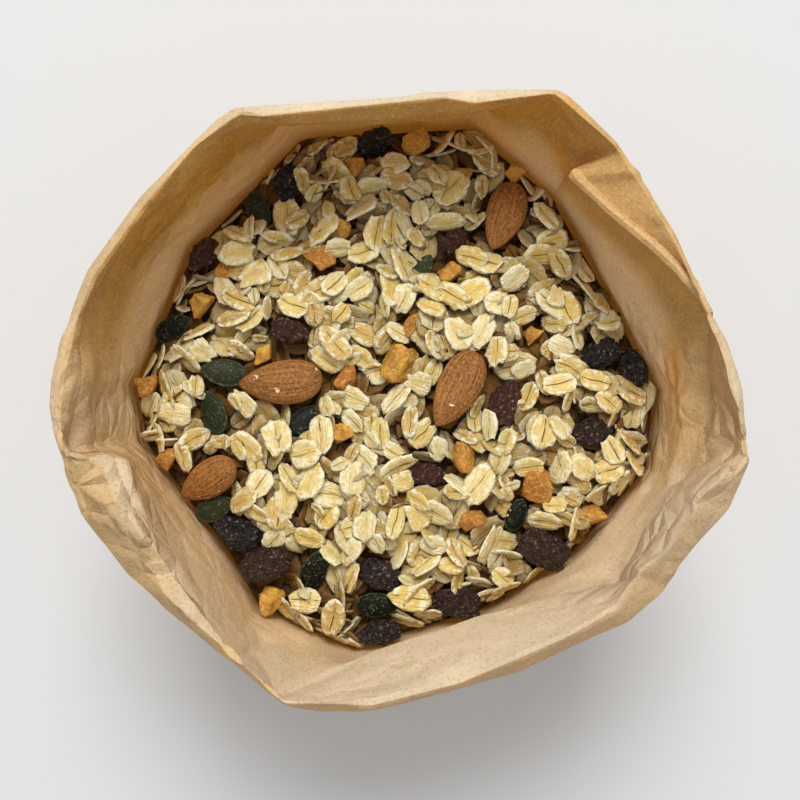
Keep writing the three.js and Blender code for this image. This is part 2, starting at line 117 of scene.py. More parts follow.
# The ridge along the top of the roll: [x, y, height].
RIDGE = (
    (86.4, -2, 138.5), (84, 7.2, 138.5), (79.3, 19.3, 138), (76.2, 25.7, 138.5), (70.3, 38.5, 139),
    (63, 50.9, 139), (54.7, 63.2, 140), (39.3, 76.1, 141), (19, 73.6, 140.5), (11.1, 74.9, 141),
    (-8.8, 72.9, 141),
    (-35.7, 70, 141), (-40.6, 71, 141), (-52.4, 62.7, 140), (-64.8, 48.3, 139.5), (-78.2, 29.7, 139),
    (-85.1, 12.9, 138), (-87, 3.1, 138.5), (-87.5, -7.1, 138.5), (-86.3, -14.5, 139.5),
    (-80.5, -24.7, 135.5), (-70.3, -40.3, 135.5), (-57.5, -54.5, 137.5), (-42.7, -67.6, 138.5),
    (-29.6, -79.6, 138.5), (-7.4, -80.3, 138), (15.5, -74.7, 138), (42.7, -62.9, 138),
    (55.9, -55.5, 137.5), (61.6, -45.8, 138.5), (69, -40.4, 138), (74.6, -32, 138), (76.9, -26.9, 138),
    (84.6, -20.9, 138), (88.7, -17.4, 139), (88, -12.2, 138.5),
)
# The outermost line of the roll: [x, y, height].
OUTER_EDGE = (
    (88, 0.1, 137), (84.3, 12.9, 136.5), (80, 20, 137), (77.2, 26.1, 137), (71.4, 39.2, 137.5),
    (64, 51.8, 138), (55.5, 64.1, 138.5), (44.3, 74.8, 139.5), (40.6, 77, 140.5), (28.7, 77.4, 139.5),
    (6.8, 76.7, 139), (0.1, 75.4, 139), (-33.5, 73.4, 139), (-43.4, 73.2, 139),
    (-53.1, 63.9, 138.5), (-66.6, 50.2, 137.5), (-80.3, 31.1, 137), (-86.9, 14.7, 136.5),
    (-89.6, 3.4, 137), (-90.8, -4.1, 136.5), (-88.6, -14.8, 137), (-83.5, -32.1, 130.5),
    (-71.3, -48.5, 130),
    (-55.6, -61.3, 132), (-37.4, -75.8, 133), (-30.2, -81.5, 134), (-21.3, -83.4, 132),
    (-9, -83.7, 131), (8.2, -79.5, 131), (30.8, -73.3, 131), (45.2, -66.4, 131), (59.6, -60.2, 131),
    (70, -51.7, 130), (74.1, -44.8, 130), (86.6, -30.1, 130), (90.3, -17.8, 135.5), (89.2, -9.7, 137),
)
# How the wall bends between the muesli and the inner fold:
# [angle in degrees, share of the height, share of the way out].
MID_WALL = (
    (0, 0.45, 0.45), (15, 0.4, 0.5), (25, 0.35, 0.75), (50, 0.35, 0.8), (56, 0.5, 0.5),
    (75, 0.55, -0.15), (112, 0.55, -0.15), (126, 0.45, 0.5), (150, 0.43, 0.6), (175, 0.4, 0.55),
    (200, 0.5, 0.35), (235, 0.5, 0.4), (248, 0.5, 0.5), (262, 0.5, 0.0), (308, 0.5, 0.0),
    (322, 0.5, 0.5), (345, 0.45, 0.5),
)
# How the paper lies between the inner fold and the ridge:
# [angle in degrees, share of the way, how far it bulges in and up; a valley is negative].
ROLL_BULGE = (
    (0, 0.35, -2.5), (12, 0.35, -1.5), (17, 0.4, -1), (21, 0.3, -2), (30, 0.2, -2.2), (40, 0.12, -1.8),
    (51.8, 0.09, -1.2), (52.6, 0.5, 0.3), (62, 0.5, 0.8), (90, 0.5, 1.3), (116, 0.5, 1),
    (124, 0.5, 0.3), (170, 0.5, 0.4), (188, 0.5, 0.4), (192, 0.6, 2.2), (204, 0.52, 3.8),
    (211, 0.25, 3.6),
    (218, 0.35, 1.6), (228, 0.5, 1), (238, 0.5, 0.3), (250, 0.5, 0), (275, 0.5, 0.5), (310, 0.5, 0.5),
    (320, 0.5, 0), (345, 0.5, 0), (352, 0.35, -2),
)

# How the pleat at the back right leans: [angle, shift of the ridge in degrees].
LEANING = ((0, 0), (25, 0), (52.2, -4.8), (70, 0), (359, 0))

# How strongly the paper is crumpled: [angle in degrees, share on the wall, share on the roll].
CRUMPLED_SHARES = (
    (0, 0.6, 0.8), (20, 0.35, 0.5), (50, 0.2, 0.35), (90, 0.15, 0.3), (130, 0.3, 0.35),
    (160, 0.5, 0.6), (185, 0.8, 1.1), (200, 0.35, 1.2), (228, 0.15, 0.9), (245, 0.15, 0.35),
    (300, 0.15, 0.35), (325, 0.4, 0.7), (350, 0.6, 0.9),
)

# How pale the inner skin is, between the settings' two colours. This paints light and shade: low shares
# give the deep inside colour, which stands for the shade and for the glow of light through the paper on
# inner walls that face away from the light; high shares give the pale colour where the walls face the
# light; the rolled-over outer face is also paler of itself. [angle in degrees, share by the muesli, up
# the wall, at the lip, on the roll, at its outermost line].
PALE_AND_PAINTED_LIGHT_SHARES = (
    (0, 0.75, 0.35, 0.4, 0.5, 1), (20, 1, 0.2, 0.4, 0.3, 0.4), (50, 1, 0.15, 0.3, 0.25, 0.3),
    (62, 0.8, 0, 0.05, 0.05, 0.2), (67, 0.5, 0, 0.05, 0.1, 0.9), (90, 0.3, 0, 0.1, 0.1, 1),
    (112, 0.7, 0, 0.1, 0.15, 1), (122, 0.6, 0, 0.1, 0.15, 0.7), (150, 0.8, 0, 0.1, 0.1, 0.5),
    (170, 0.7, 0.2, 0.35, 0.4, 0.6), (185, 0.9, 0.7, 0.7, 0.6, 0.7), (194, 0.55, 0.5, 0.75, 0.45, 0.4),
    (212, 0.65, 0.65, 0.9, 0.45, 0.4), (220, 0.7, 0.7, 0.95, 0.7, 0.4), (240, 0.75, 0.85, 1, 1, 0.4),
    (300, 0.85, 0.9, 1, 1, 0.4), (325, 0.9, 0.9, 1, 1, 0.5), (340, 0.85, 0.8, 1, 1, 0.6),
    (350, 0.75, 0.55, 0.5, 0.65, 0.7),
)
# Where along the sheet those shares hold, in levels as told at CREASES: the first up to 0.7, the
# second from 1.4 to 1.8 and so on, and the outside's share from 6.
PALE_LEVELS = (0.7, 1.4, 1.8, 2.1, 2.9, 3.2, 3.9, 4.2, 5.2, 6)
OUTER_PALE = 0.5  # the share on the bag's outside

# Creases in the paper: [height in mm, a valley is negative; half width in mm; bends as
# (angle in degrees, level)]. Levels count the folds: 0 where the muesli starts, 1 the bend of the
# wall, 2 the inner fold, 3 the middle of the roll, 4 its ridge and 5 its outermost line.
CREASES = (
    (0.9, 1.8, ((15, 2), (25, 2), (38, 2), (51, 2))),
    (0.9, 2.5, ((51.5, 2.1), (50.2, 3), (47.4, 4.1), (46.6, 4.8))),
    (-1.4, 6, ((8, 2.8), (0, 2.9), (354, 2.8), (351, 2.4), (344, 2.4))),
    (0.7, 5, ((7, 0.5), (0, 1.9), (356, 2.3))),
    (-1.3, 4, ((351, 4.2), (350, 3.3), (347, 2.9), (342, 2.2), (339, 0.8))),
    (0.9, 6, ((264, 3.9), (270, 3.8), (284, 3.5))),
    (-0.9, 3, ((319, 2.3), (322, 3.9), (324, 5))),
    (-0.9, 5, ((260, 2.1), (254, 2.4), (249, 2.2))),
    (-1.0, 4, ((237, 3.6), (240, 1.7), (241, 1.1))),
    (1.3, 5, ((203, 3.6), (208, 3.3), (211, 3.1))),
    (-1.0, 3, ((217, 4.2), (219, 3.1))),
    (-1.2, 5, ((172, 2.2), (178, 2.1), (185, 2.1), (189, 2.3))),
    (0.9, 5, ((174, 2), (178, 1.4), (174, 0.3))),
    (-1.5, 6, ((190, 4), (191, 2.4), (188, 2))),
    (-1.1, 5, ((133, 1), (140, 1.8), (149, 2.1))),
    (0.9, 5, ((141, 0.7), (147, 1.1), (156, 1.2))),
    (-1.1, 4, ((121, 4.8), (119, 4), (117, 3.4))),
)


class BagSettings(bpy.types.PropertyGroup):
    """Sizes and colours of the paper bag"""

    columns: bpy.props.IntProperty(
        name="Columns", description="Steps round the sheet", default=500, min=60
    )
    thickness: bpy.props.FloatProperty(
        name="Sheet Thickness", description="Thickness of the paper", default=0.00036, unit="LENGTH"
    )
    crumple: bpy.props.FloatProperty(
        name="Crumple", description="Height of the soft dents", default=0.0014, unit="LENGTH"
    )
    # Painted shade: this deep orange stands for the shade and the glow of light through the paper on
    # the inner walls.
    inside: bpy.props.FloatVectorProperty(
        name="Inside", description="Colour of the paper inside the bag", subtype="COLOR",
        default=(0.8, 0.46, 0.09), min=0, max=1,
    )
    # The paper's own pale colour, also used as painted light on the inner walls that face the light.
    outside: bpy.props.FloatVectorProperty(
        name="Outside", description="Colour of the rolled and the outer paper", subtype="COLOR",
        default=(0.96, 0.85, 0.61), min=0, max=1,
    )
    seed: bpy.props.IntProperty(name="Seed", description="Pattern of the dents", default=5)


class StageSettings(bpy.types.PropertyGroup):
    """Floor, light and camera"""

    floor_size: bpy.props.FloatProperty(
        name="Floor", description="Side of the floor", default=6, unit="LENGTH"
    )
    camera_height: bpy.props.FloatProperty(
        name="Camera Height", description="Height of the camera", default=0.47, unit="LENGTH"
    )
    camera_shift: bpy.props.FloatProperty(
        name="Camera Offset", description="Camera's place along Y", default=-0.002, unit="LENGTH"
    )
    lens: bpy.props.FloatProperty(
        name="Lens", description="Focal length in millimetres", default=58.2
    )
    key_power: bpy.props.FloatProperty(
        name="Key Light", description="Power of the window light, in watts", default=65
    )
    key_size: bpy.props.FloatProperty(
        name="Key Size", description="Side of the window light", default=1.2, unit="LENGTH"
    )
    key_distance: bpy.props.FloatProperty(
        name="Key Distance", description="Distance of the window light", default=3, unit="LENGTH"
    )
    key_elevation: bpy.props.FloatProperty(
        name="Key Elevation", description="Angle of the window light above the floor",
        default=math.radians(58), subtype="ANGLE",
    )
    sky: bpy.props.FloatProperty(
        name="Sky", description="Strength of the light from straight above", default=0.71
    )
    horizon: bpy.props.FloatProperty(
        name="Horizon", description="Strength of the light from the sides", default=0.2
    )


# ---- Helpers -------------------------------------------------------------------


HASH_STEPS = np.array((374761393, 668265263, 2147483647))  # large numbers that mix a cell's place
HASH_SEED = 974711
HASH_SPREAD = 1274126177


def smooth_noise(points, spacing, seed):
    """Soft random values between -1 and 1 at points in space, with lumps about spacing wide."""
    scaled = np.asarray(points, float) / spacing
    cell = np.floor(scaled).astype(np.int64)
    part = scaled - cell
    part = part * part * (3 - 2 * part)
    total = np.zeros(len(scaled))
    for corner in range(8):
        step = np.array([corner & 1, corner >> 1 & 1, corner >> 2 & 1])
        mixed = (cell + step) @ HASH_STEPS + seed * HASH_SEED
        mixed = (mixed ^ (mixed >> 13)) * HASH_SPREAD
        value = ((mixed ^ (mixed >> 16)) & 0xFFFF) / 32767.5 - 1
        total += np.prod(np.where(step, part, 1 - part), axis=1) * value
    return total


def drift(points, spacing, seed):
    """Soft random shifts in all three directions."""
    return np.column_stack([smooth_noise(points, spacing, seed + step) for step in (1, 2, 3)])


def new_piece(name, vertices, faces, smooth=True):
    """A mesh object at the origin; vertices are in metres."""
    mesh = bpy.data.meshes.new(name)
    mesh.from_pydata(np.asarray(vertices).tolist(), [], faces)
    mesh.validate()
    if smooth:
        mesh.shade_smooth()
    piece = bpy.data.objects.new(name, mesh)
    bpy.context.scene.collection.objects.link(piece)
    return piece


def finish_piece(piece, material, slot, *nodes):
    """Gives a piece its material and its place in the frame."""
    piece.data.materials.clear()
    piece.data.materials.append(material)
    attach(piece, "root")
    if nodes:
        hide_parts(*nodes)


def put_attribute(mesh, name, kind, values):
    """Writes one value or vector for each point of a mesh, for its material to read."""
    key = "vector" if kind == "FLOAT_VECTOR" else "value"
    attribute = mesh.attributes.new(name, kind, "POINT")
    attribute.data.foreach_set(key, np.asarray(values).ravel())


def tube_faces(rows, columns):
    """For rows of points that close on themselves: their numbers, those beside them, and quads."""
    index = np.arange(rows * columns).reshape(rows, columns)
    beside = np.roll(index, -1, axis=1)
    quads = np.stack([index[:-1], beside[:-1], beside[1:], index[1:]], axis=-1)
    return index, beside, quads.reshape(-1, 4)


def between_points(grid, row, column):
    """Values between the points of a grid whose rows close on themselves."""
    columns = grid.shape[1]
    low, left = np.floor(row).astype(int), np.floor(column).astype(int)
    up, along = row - low, column - left
    if grid.ndim > 2:
        up, along = up[..., None], along[..., None]
    left, right = left % columns, (left + 1) % columns
    lower = grid[low, left] * (1 - along) + grid[low, right] * along
    upper = grid[low + 1, left] * (1 - along) + grid[low + 1, right] * along
    return lower * (1 - up) + upper * up


def at_angles(rows, degrees):
    """Values of rows of [angle, ...] at other angles, straight between the rows and closed."""
    rows = np.array(rows, float)
    return np.column_stack([
        np.interp(degrees, rows[:, 0], column, period=360) for column in rows[:, 1:].T
    ])


def outline(bends, angles):
    """Where rays at the given angles meet a closed outline of [x, y] or [x, y, height]."""
    bends = np.array(bends, float)
    turns = np.arctan2(bends[:, 1], bends[:, 0]) % TURN
    order = np.argsort(turns)
    bends = bends[order]
    index = (np.searchsorted(turns[order], angles % TURN, side="right") - 1) % len(bends)
    start = bends[index]
    end = np.roll(bends, -1, axis=0)[index]
    ray = np.column_stack([np.cos(angles), np.sin(angles)])
    edge = end[:, :2] - start[:, :2]
    cross = ray[:, 0] * edge[:, 1] - ray[:, 1] * edge[:, 0]
    radius = (start[:, 0] * edge[:, 1] - start[:, 1] * edge[:, 0]) / cross
    point = radius[:, None] * ray
    along = np.hypot(*(point - start[:, :2]).T) / np.hypot(*edge.T)
    rest = start[:, 2:] + (end[:, 2:] - start[:, 2:]) * along[:, None]
    return np.column_stack([point, rest])


def polar(radius, angles, height):
    """Points at a radius and height for each angle."""
    heights = np.broadcast_to(height, angles.shape)
    return np.column_stack([radius * np.cos(angles), radius * np.sin(angles), heights])


class Nodes:
    """Adds nodes to a tree and joins them up."""

    def __init__(self, tree):
        self.tree = tree

    def add(self, kind, inputs=None, **settings):
        """A new node with its settings made and its inputs linked or set."""
        made = self.tree.nodes.new(kind)
        for name, value in settings.items():
            setattr(made, name, value)
        for key, value in (inputs or {}).items():
            self.put(made.inputs[key], value)
        return made

    def put(self, socket, value):
        """Links an output to a socket, or sets the socket's own value."""
        if isinstance(value, bpy.types.NodeSocket):
            self.tree.links.new(value, socket)
        elif isinstance(value, tuple) and len(value) == 3 and socket.type == "RGBA":
            socket.default_value = (*value, 1)
        else:
            socket.default_value = value

    def noise(self, place, scale, detail=2, roughness=0.5, distortion=0):
        inputs = {
            "Vector": place, "Scale": scale, "Detail": detail, "Roughness": roughness,
            "Distortion": distortion,
        }
        return self.add("ShaderNodeTexNoise", inputs).outputs["Fac"]

    def remap(self, value, low, high, to_low=0, to_high=1):
        inputs = {
            "Value": value, "From Min": low, "From Max": high, "To Min": to_low, "To Max": to_high,
        }
        return self.add("ShaderNodeMapRange", inputs).outputs["Result"]

    def maths(self, operation, first, second=0):
        return self.add("ShaderNodeMath", {0: first, 1: second}, operation=operation).outputs[0]

    def times(self, first, second):
        return self.maths("MULTIPLY", first, second)

    def mix(self, factor, first, second):
        mixed = self.add("ShaderNodeMix", {0: factor, 6: first, 7: second}, data_type="RGBA")
        return mixed.outputs[2]

    def bump(self, height, distance, strength=1, normal=None):
        inputs = {"Height": height, "Distance": distance, "Strength": strength}
        if normal:
            inputs["Normal"] = normal
        return self.add("ShaderNodeBump", inputs).outputs["Normal"]

    def attribute(self, name, output="Fac"):
        return self.add("ShaderNodeAttribute", attribute_name=name).outputs[output]

    def vector(self, operation, first, second):
        return self.add(
            "ShaderNodeVectorMath", {0: first, 1: second}, operation=operation
        ).outputs[0]

    def scaled(self, vector, factor):
        return self.add(
            "ShaderNodeVectorMath", {0: vector, "Scale": factor}, operation="SCALE"
        ).outputs[0]

    def stretched(self, vector, scale):
        return self.add("ShaderNodeMapping", {"Vector": vector, "Scale": scale}).outputs[0]

    def tinted(self, base, value, low, high, colour, amount=1):
        """The base with another colour laid over it where a value climbs from low to high."""
        return self.mix(self.remap(value, low, high, 0, amount), base, colour)

    def noise_vector(self, place, scale, amount):
        """A vector that wanders by amount, to bend a pattern."""
        noise = self.add("ShaderNodeTexNoise", {"Vector": place, "Scale": scale, "Detail": 0})
        return self.scaled(noise.outputs["Color"], amount)


def new_material(name):
    """A material with an empty tree but for its Principled shader, and a place on the object."""
    material = bpy.data.materials.new(name)
    material.use_nodes = True
    tree = material.node_tree
    tree.nodes.clear()
    nodes = Nodes(tree)
    shader = nodes.add("ShaderNodeBsdfPrincipled")
    nodes.add("ShaderNodeOutputMaterial", {"Surface": shader.outputs["BSDF"]})
    return material, nodes, shader, nodes.add("ShaderNodeTexCoord").outputs["Object"]


def fill_shader(nodes, shader, colour, roughness, specular, normal=None):
    """Sets the Principled shader's colour, roughness, gloss and, where given, its bumps."""
    nodes.put(shader.inputs["Base Color"], colour)
    nodes.put(shader.inputs["Roughness"], roughness)
    shader.inputs["Specular IOR Level"].default_value = specular
    if normal is not None:
        nodes.put(shader.inputs["Normal"], normal)


# ---- Paper -----------------------------------------------------------------------


def base_radius(angles):
    """Radius of the block bottom, a rectangle with round corners."""
    cosines, sines = np.abs(np.cos(angles)), np.abs(np.sin(angles))
    half_length, half_width = BASE_LENGTH / 2, BASE_WIDTH / 2
    straight = np.minimum(
        half_length / np.maximum(cosines, 1e-9), half_width / np.maximum(sines, 1e-9)
    )
    corner_x, corner_y = half_length - BASE_CORNER, half_width - BASE_CORNER
    middle = corner_x * cosines + corner_y * sines
    offside = np.maximum(BASE_CORNER**2 - corner_x**2 - corner_y**2 + middle**2, 0)
    in_corner = (straight * cosines > corner_x) & (straight * sines > corner_y)
    return np.where(in_corner, middle + np.sqrt(offside), straight)


def wall_radius(angles, height):
    """Radius of the wall below the belly at one height."""
    belly = np.hypot(*outline(BELLY, angles).T)
    bulge = math.sin(height / BELLY_HEIGHT * math.pi / 2)
    return base_radius(angles) + (belly - base_radius(angles)) * bulge


def key_rings(angles):
    """The sheet's folds from the middle of the floor, up the wall, over the roll to the hem.

    Each ring of points comes with the number of rows up to the next one.
    """
    degrees = np.degrees(angles)
    radius = base_radius(angles)
    belly = outline([(x, y, BELLY_HEIGHT) for x, y in BELLY], angles)
    fold = outline(INNER_FOLD, angles)
    leaning = angles + np.radians(at_angles(LEANING, degrees)[:, 0])
    ridge = outline(RIDGE, leaning)
    edge = outline(OUTER_EDGE, leaning)
    rise, out = at_angles(MID_WALL, degrees).T[:, :, None]
    middle = belly + (fold - belly) * np.concatenate([out, out, rise], axis=1)
    share, bulge = at_angles(ROLL_BULGE, degrees).T[:, :, None]
    across = ridge - fold
    length = np.linalg.norm(across, axis=1, keepdims=True)
    outward = np.hypot(*ridge[:, :2].T)[:, None] - np.hypot(*fold[:, :2].T)[:, None]
    ray = np.column_stack([np.cos(angles), np.sin(angles)])
    inward_up = np.concatenate([-ray * across[:, 2:] / length, outward / length], axis=1)
    roll = fold + across * share + inward_up * bulge

    def below_edge(drop, inset):
        reach = np.hypot(*edge[:, :2].T) - inset
        height = edge[:, 2] - drop
        foot, top = outline(BELLY, leaning), outline(INNER_FOLD, leaning)
        rise_there = np.clip((height - BELLY_HEIGHT) / (top[:, 2] - BELLY_HEIGHT), 0, 1)
        wall = np.hypot(*foot.T) * (1 - rise_there) + np.hypot(*top[:, :2].T) * rise_there
        return polar(np.maximum(reach, wall + CUFF_CLEARANCE), leaning, height)

    return [
        (polar(radius * 0.02, angles, FLOOR_HEIGHT), 3),
        (polar(radius - BASE_INSET, angles, FLOOR_HEIGHT), 2),
        *((polar(wall_radius(angles, level), angles, level), 5) for level in WALL_LEVELS),
        (belly, 10), (middle, 13), (fold, 9), (roll, 9), (ridge, 5), (edge, 7),
        *((below_edge(drop, inset), rows) for drop, inset, rows in CUFF_RINGS),
    ]


def sheet_grid(angles):
    """Rows of points from ring to ring, with the folds rounded a little, and each row's level."""
    rings = key_rings(angles)
    rows, levels = [], []
    for number, ((ring, count), (following, _)) in enumerate(zip(rings, rings[1:])):
        for step in range(count):
            rows.append(ring + (following - ring) * step / count)
            levels.append(number + step / count - BELLY_RING)
    rows.append(rings[-1][0])
    levels.append(len(rings) - 1 - BELLY_RING)
    grid = np.array(rows)
    own_share = 1 - 2 * FOLD_ROUNDING
    grid[1:-1] = own_share * grid[1:-1] + FOLD_ROUNDING * (grid[:-2] + grid[2:])
    beside = np.roll(grid, 1, axis=1) + np.roll(grid, -1, axis=1)
    grid[1:-1] = own_share * grid[1:-1] + FOLD_ROUNDING * beside[1:-1]
    return grid, np.array(levels)


def grid_normals(grid):
    """Directions off the sheet: inwards on the wall, up on the roll, outwards on the cuff."""
    along = np.gradient(grid, axis=0)
    around = np.roll(grid, -1, axis=1) - np.roll(grid, 1, axis=1)
    normals = np.cross(along, around)
    return normals / np.maximum(np.linalg.norm(normals, axis=2, keepdims=True), 1e-9)


def facet_field(width, height, spacing, rng):
    """Random flat facets with sharp edges on a field of 1 mm cells that repeats across its width."""
    count = int(width * height / spacing**2)
    seeds = rng.random((count, 2)) * (width, height)
    values = rng.random(count) * 2 - 1
    copies = [seeds + (shift * width, 0) for shift in (-1, 0, 1)]
    corners = np.array([(x, y) for x in (-width, 2 * width) for y in (-spacing, height + spacing)])
    points = np.concatenate([*copies, corners])
    values = np.concatenate([values, values, values, np.zeros(len(corners))])
    near = (points[:, 0] > -3 * spacing) & (points[:, 0] < width + 3 * spacing)
    near[-len(corners):] = True
    points, values = points[near], values[near]
    mesh = geometry.delaunay_2d_cdt([Vector(p) for p in points], [], [], 0, 1e-6)
    spots = np.array([tuple(v) for v in mesh[0]])
    levels = np.array([values[origin[0]] for origin in mesh[3]])
    field = np.zeros((int(height) + 2, int(width) + 1))
    for triangle in mesh[2]:
        a, b, c = spots[triangle]
        low = np.maximum(np.ceil(np.min([a, b, c], axis=0)), 0).astype(int)
        high = np.floor(np.max([a, b, c], axis=0))
        high = np.minimum(high, (int(width), int(height) + 1)).astype(int)
        if (high < low).any():
            continue
        x, y = np.meshgrid(np.arange(low[0], high[0] + 1), np.arange(low[1], high[1] + 1))
        area = (b[0] - a[0]) * (c[1] - a[1]) - (c[0] - a[0]) * (b[1] - a[1])
        if abs(area) < 1e-9:
            continue
        v = ((x - a[0]) * (c[1] - a[1]) - (c[0] - a[0]) * (y - a[1])) / area
        w = ((b[0] - a[0]) * (y - a[1]) - (x - a[0]) * (b[1] - a[1])) / area
        inside = (v >= -1e-6) & (w >= -1e-6) & (v + w <= 1 + 1e-6)
        values_there = levels[triangle] @ np.array([1 - v - w, v, w]).reshape(3, -1)
        field[y[inside], x[inside]] = values_there.reshape(x.shape)[inside]
    return field


def sample_field(field, x, y):
    """Values of a field between its cells."""
    return between_points(field[:, :-1], np.clip(y, 0, field.shape[0] - 1.001), x)


def creased(grid, levels):
    """The sheet with its creases pressed in."""
    height = np.zeros(grid.shape[:2])
    for rise, width, bends in CREASES:
        turns = np.unwrap(np.radians([bend[0] for bend in bends]))
        steps = np.linspace(0, len(bends) - 1, 40 * len(bends))
        row = np.interp(steps, range(len(bends)), [bend[1] for bend in bends])
        row = np.interp(row, levels, np.arange(len(levels)))
        column = np.interp(steps, range(len(bends)), turns) % TURN / TURN * grid.shape[1]
        distance = np.full(height.shape, np.inf)
        for point in between_points(grid, row, column):
            distance = np.minimum(distance, np.linalg.norm(grid - point, axis=2))
        height += rise * np.clip(1 - distance / width, 0, 1)
    height[levels < 0.15] = 0
    return grid + grid_normals(grid) * height[:, :, None]


def handled_shares(columns, levels):
    """How strongly each point of the sheet is crumpled."""
    degrees = np.arange(columns) * 360 / columns
    on_wall, on_roll = at_angles(CRUMPLED_SHARES, degrees).T
    rolled = np.clip(levels[:, None] - 1.5, 0, 1)
    handled = on_wall * (1 - rolled) + on_roll * rolled
    return handled * (1 - 0.65 * np.clip(levels[:, None] - 4, 0, 1))


def crumpled(grid, levels, settings):
    """The sheet with soft dents and flat facets, stronger where the paper was handled."""
    rng = np.random.default_rng(settings.seed)
    steps = np.linalg.norm(np.diff(grid, axis=0), axis=2)
    climb = np.concatenate([np.zeros((1, grid.shape[1])), np.cumsum(steps, axis=0)])
    around = np.linspace(0, GIRTH, grid.shape[1], endpoint=False)[None, :].repeat(len(grid), axis=0)
    coarse = sample_field(facet_field(GIRTH, climb.max(), COARSE_DENTS, rng), around, climb)
    fine = sample_field(facet_field(GIRTH, climb.max(), FINE_DENTS, rng), around, climb)
    fade = np.clip(climb / DENTS_OVER, 0, 1)
    amount = settings.crumple / MM * handled_shares(grid.shape[1], levels) * fade
    height = amount * (coarse + FINE_SHARE * fine)
    return grid + grid_normals(grid) * height[:, :, None]


def sheet_mesh(grid, thickness):
    """Both skins of a sheet, the inner one first, with a rim along the hem: points and faces."""
    offset = grid_normals(grid) * thickness / 2
    skins = [(grid + offset).reshape(-1, 3), (grid - offset).reshape(-1, 3)]
    index, beside, quads = tube_faces(*grid.shape[:2])
    middles = [skin[index[0]].mean(axis=0) for skin in skins]
    hem = np.stack([index[-1] + index.size, beside[-1] + index.size, beside[-1], index[-1]], axis=-1)
    faces = [*quads[:, ::-1].tolist(), *(quads + index.size).tolist(), *hem.tolist()]
    for a, b in zip(index[0].tolist(), beside[0].tolist()):
        faces.append([2 * index.size, a, b])
        faces.append([2 * index.size + 1, b + index.size, a + index.size])
    return np.concatenate([*skins, middles]), faces


def paper_material(inside, outside):
    """Brown paper with long fibres, specks and pale crease lines. Inside the bag a deeper colour paints
    the shade and the glow of light through the paper; the pale crease lines are partly worn fibres and
    partly painted highlights.
    """
    material, nodes, shader, place = new_material("brown_paper")
    rolled = nodes.attribute("rolled")
    mottle = nodes.noise(place, 55, 2, 0.6)
    clouds = nodes.noise(place, 330, 2, 0.6)
    grain = nodes.noise(place, 1100, 2, 0.7)
    fibres = nodes.noise(nodes.stretched(place, (1, 1, 0.22)), 1500, 1, 0.6)
    bent = nodes.vector("ADD", place, nodes.noise_vector(place, 60, 0.002))

    def folds_apart(scale):
        cells = nodes.add(
            "ShaderNodeTexVoronoi", {"Vector": bent, "Scale": scale}, feature="DISTANCE_TO_EDGE"
        )
        return cells.outputs["Distance"]

    line = nodes.remap(folds_apart(62), 0, 0.02, 1, 0)
    crease_wear_and_highlight = nodes.times(line, nodes.remap(nodes.noise(place, 45, 0), 0.5, 0.62))
    patches = nodes.remap(nodes.noise(place, 26, 0), 0.35, 0.55)
    crinkled = nodes.times(nodes.attribute("handled"), patches)
    dents = nodes.times(nodes.remap(folds_apart(105), 0, 0.3), crinkled)

    # Painted light and shade: rolled mixes the deep inside colours on shaded inner walls with the pale
    # outside colours where lit; the same share picks the darker and paler variants below.
    colour = nodes.mix(rolled, inside, outside)
    deeper = nodes.mix(rolled, tuple(0.76 * c for c in inside), tuple(0.92 * c for c in outside))
    worn = nodes.mix(rolled, (0.6, 0.34, 0.07), (0.84, 0.7, 0.45))
    dark = nodes.mix(rolled, (0.4, 0.22, 0.05), (0.62, 0.46, 0.24))
    pale = nodes.mix(rolled, (0.92, 0.64, 0.2), (0.98, 0.91, 0.72))
    base = nodes.tinted(deeper, mottle, 0.38, 0.62, colour)
    base = nodes.tinted(base, clouds, 0.5, 0.66, worn, 0.4)
    base = nodes.tinted(base, grain, 0.54, 0.66, dark, 0.6)
    base = nodes.tinted(base, fibres, 0.52, 0.66, pale, 0.5)
    # Pale crease lines: partly worn fibres, partly painted highlights along the creases.
    base = nodes.mix(nodes.times(crease_wear_and_highlight, 0.3), base, pale)
    relief = nodes.maths("ADD", nodes.times(grain, 0.5), fibres)
    normal = nodes.bump(relief, 0.00018, normal=nodes.bump(dents, 0.0014))
    fill_shader(nodes, shader, base, nodes.remap(mottle, 0.3, 0.7, 0.4, 0.5), 0.1, normal)
    glow = nodes.add("ShaderNodeBsdfTranslucent", {"Color": (1.0, 0.64, 0.16)})
    both = nodes.add("ShaderNodeMixShader", {0: 0.3, 1: shader.outputs[0], 2: glow.outputs[0]})
    nodes.put(material.node_tree.nodes["Material Output"].inputs["Surface"], both.outputs[0])
    return material


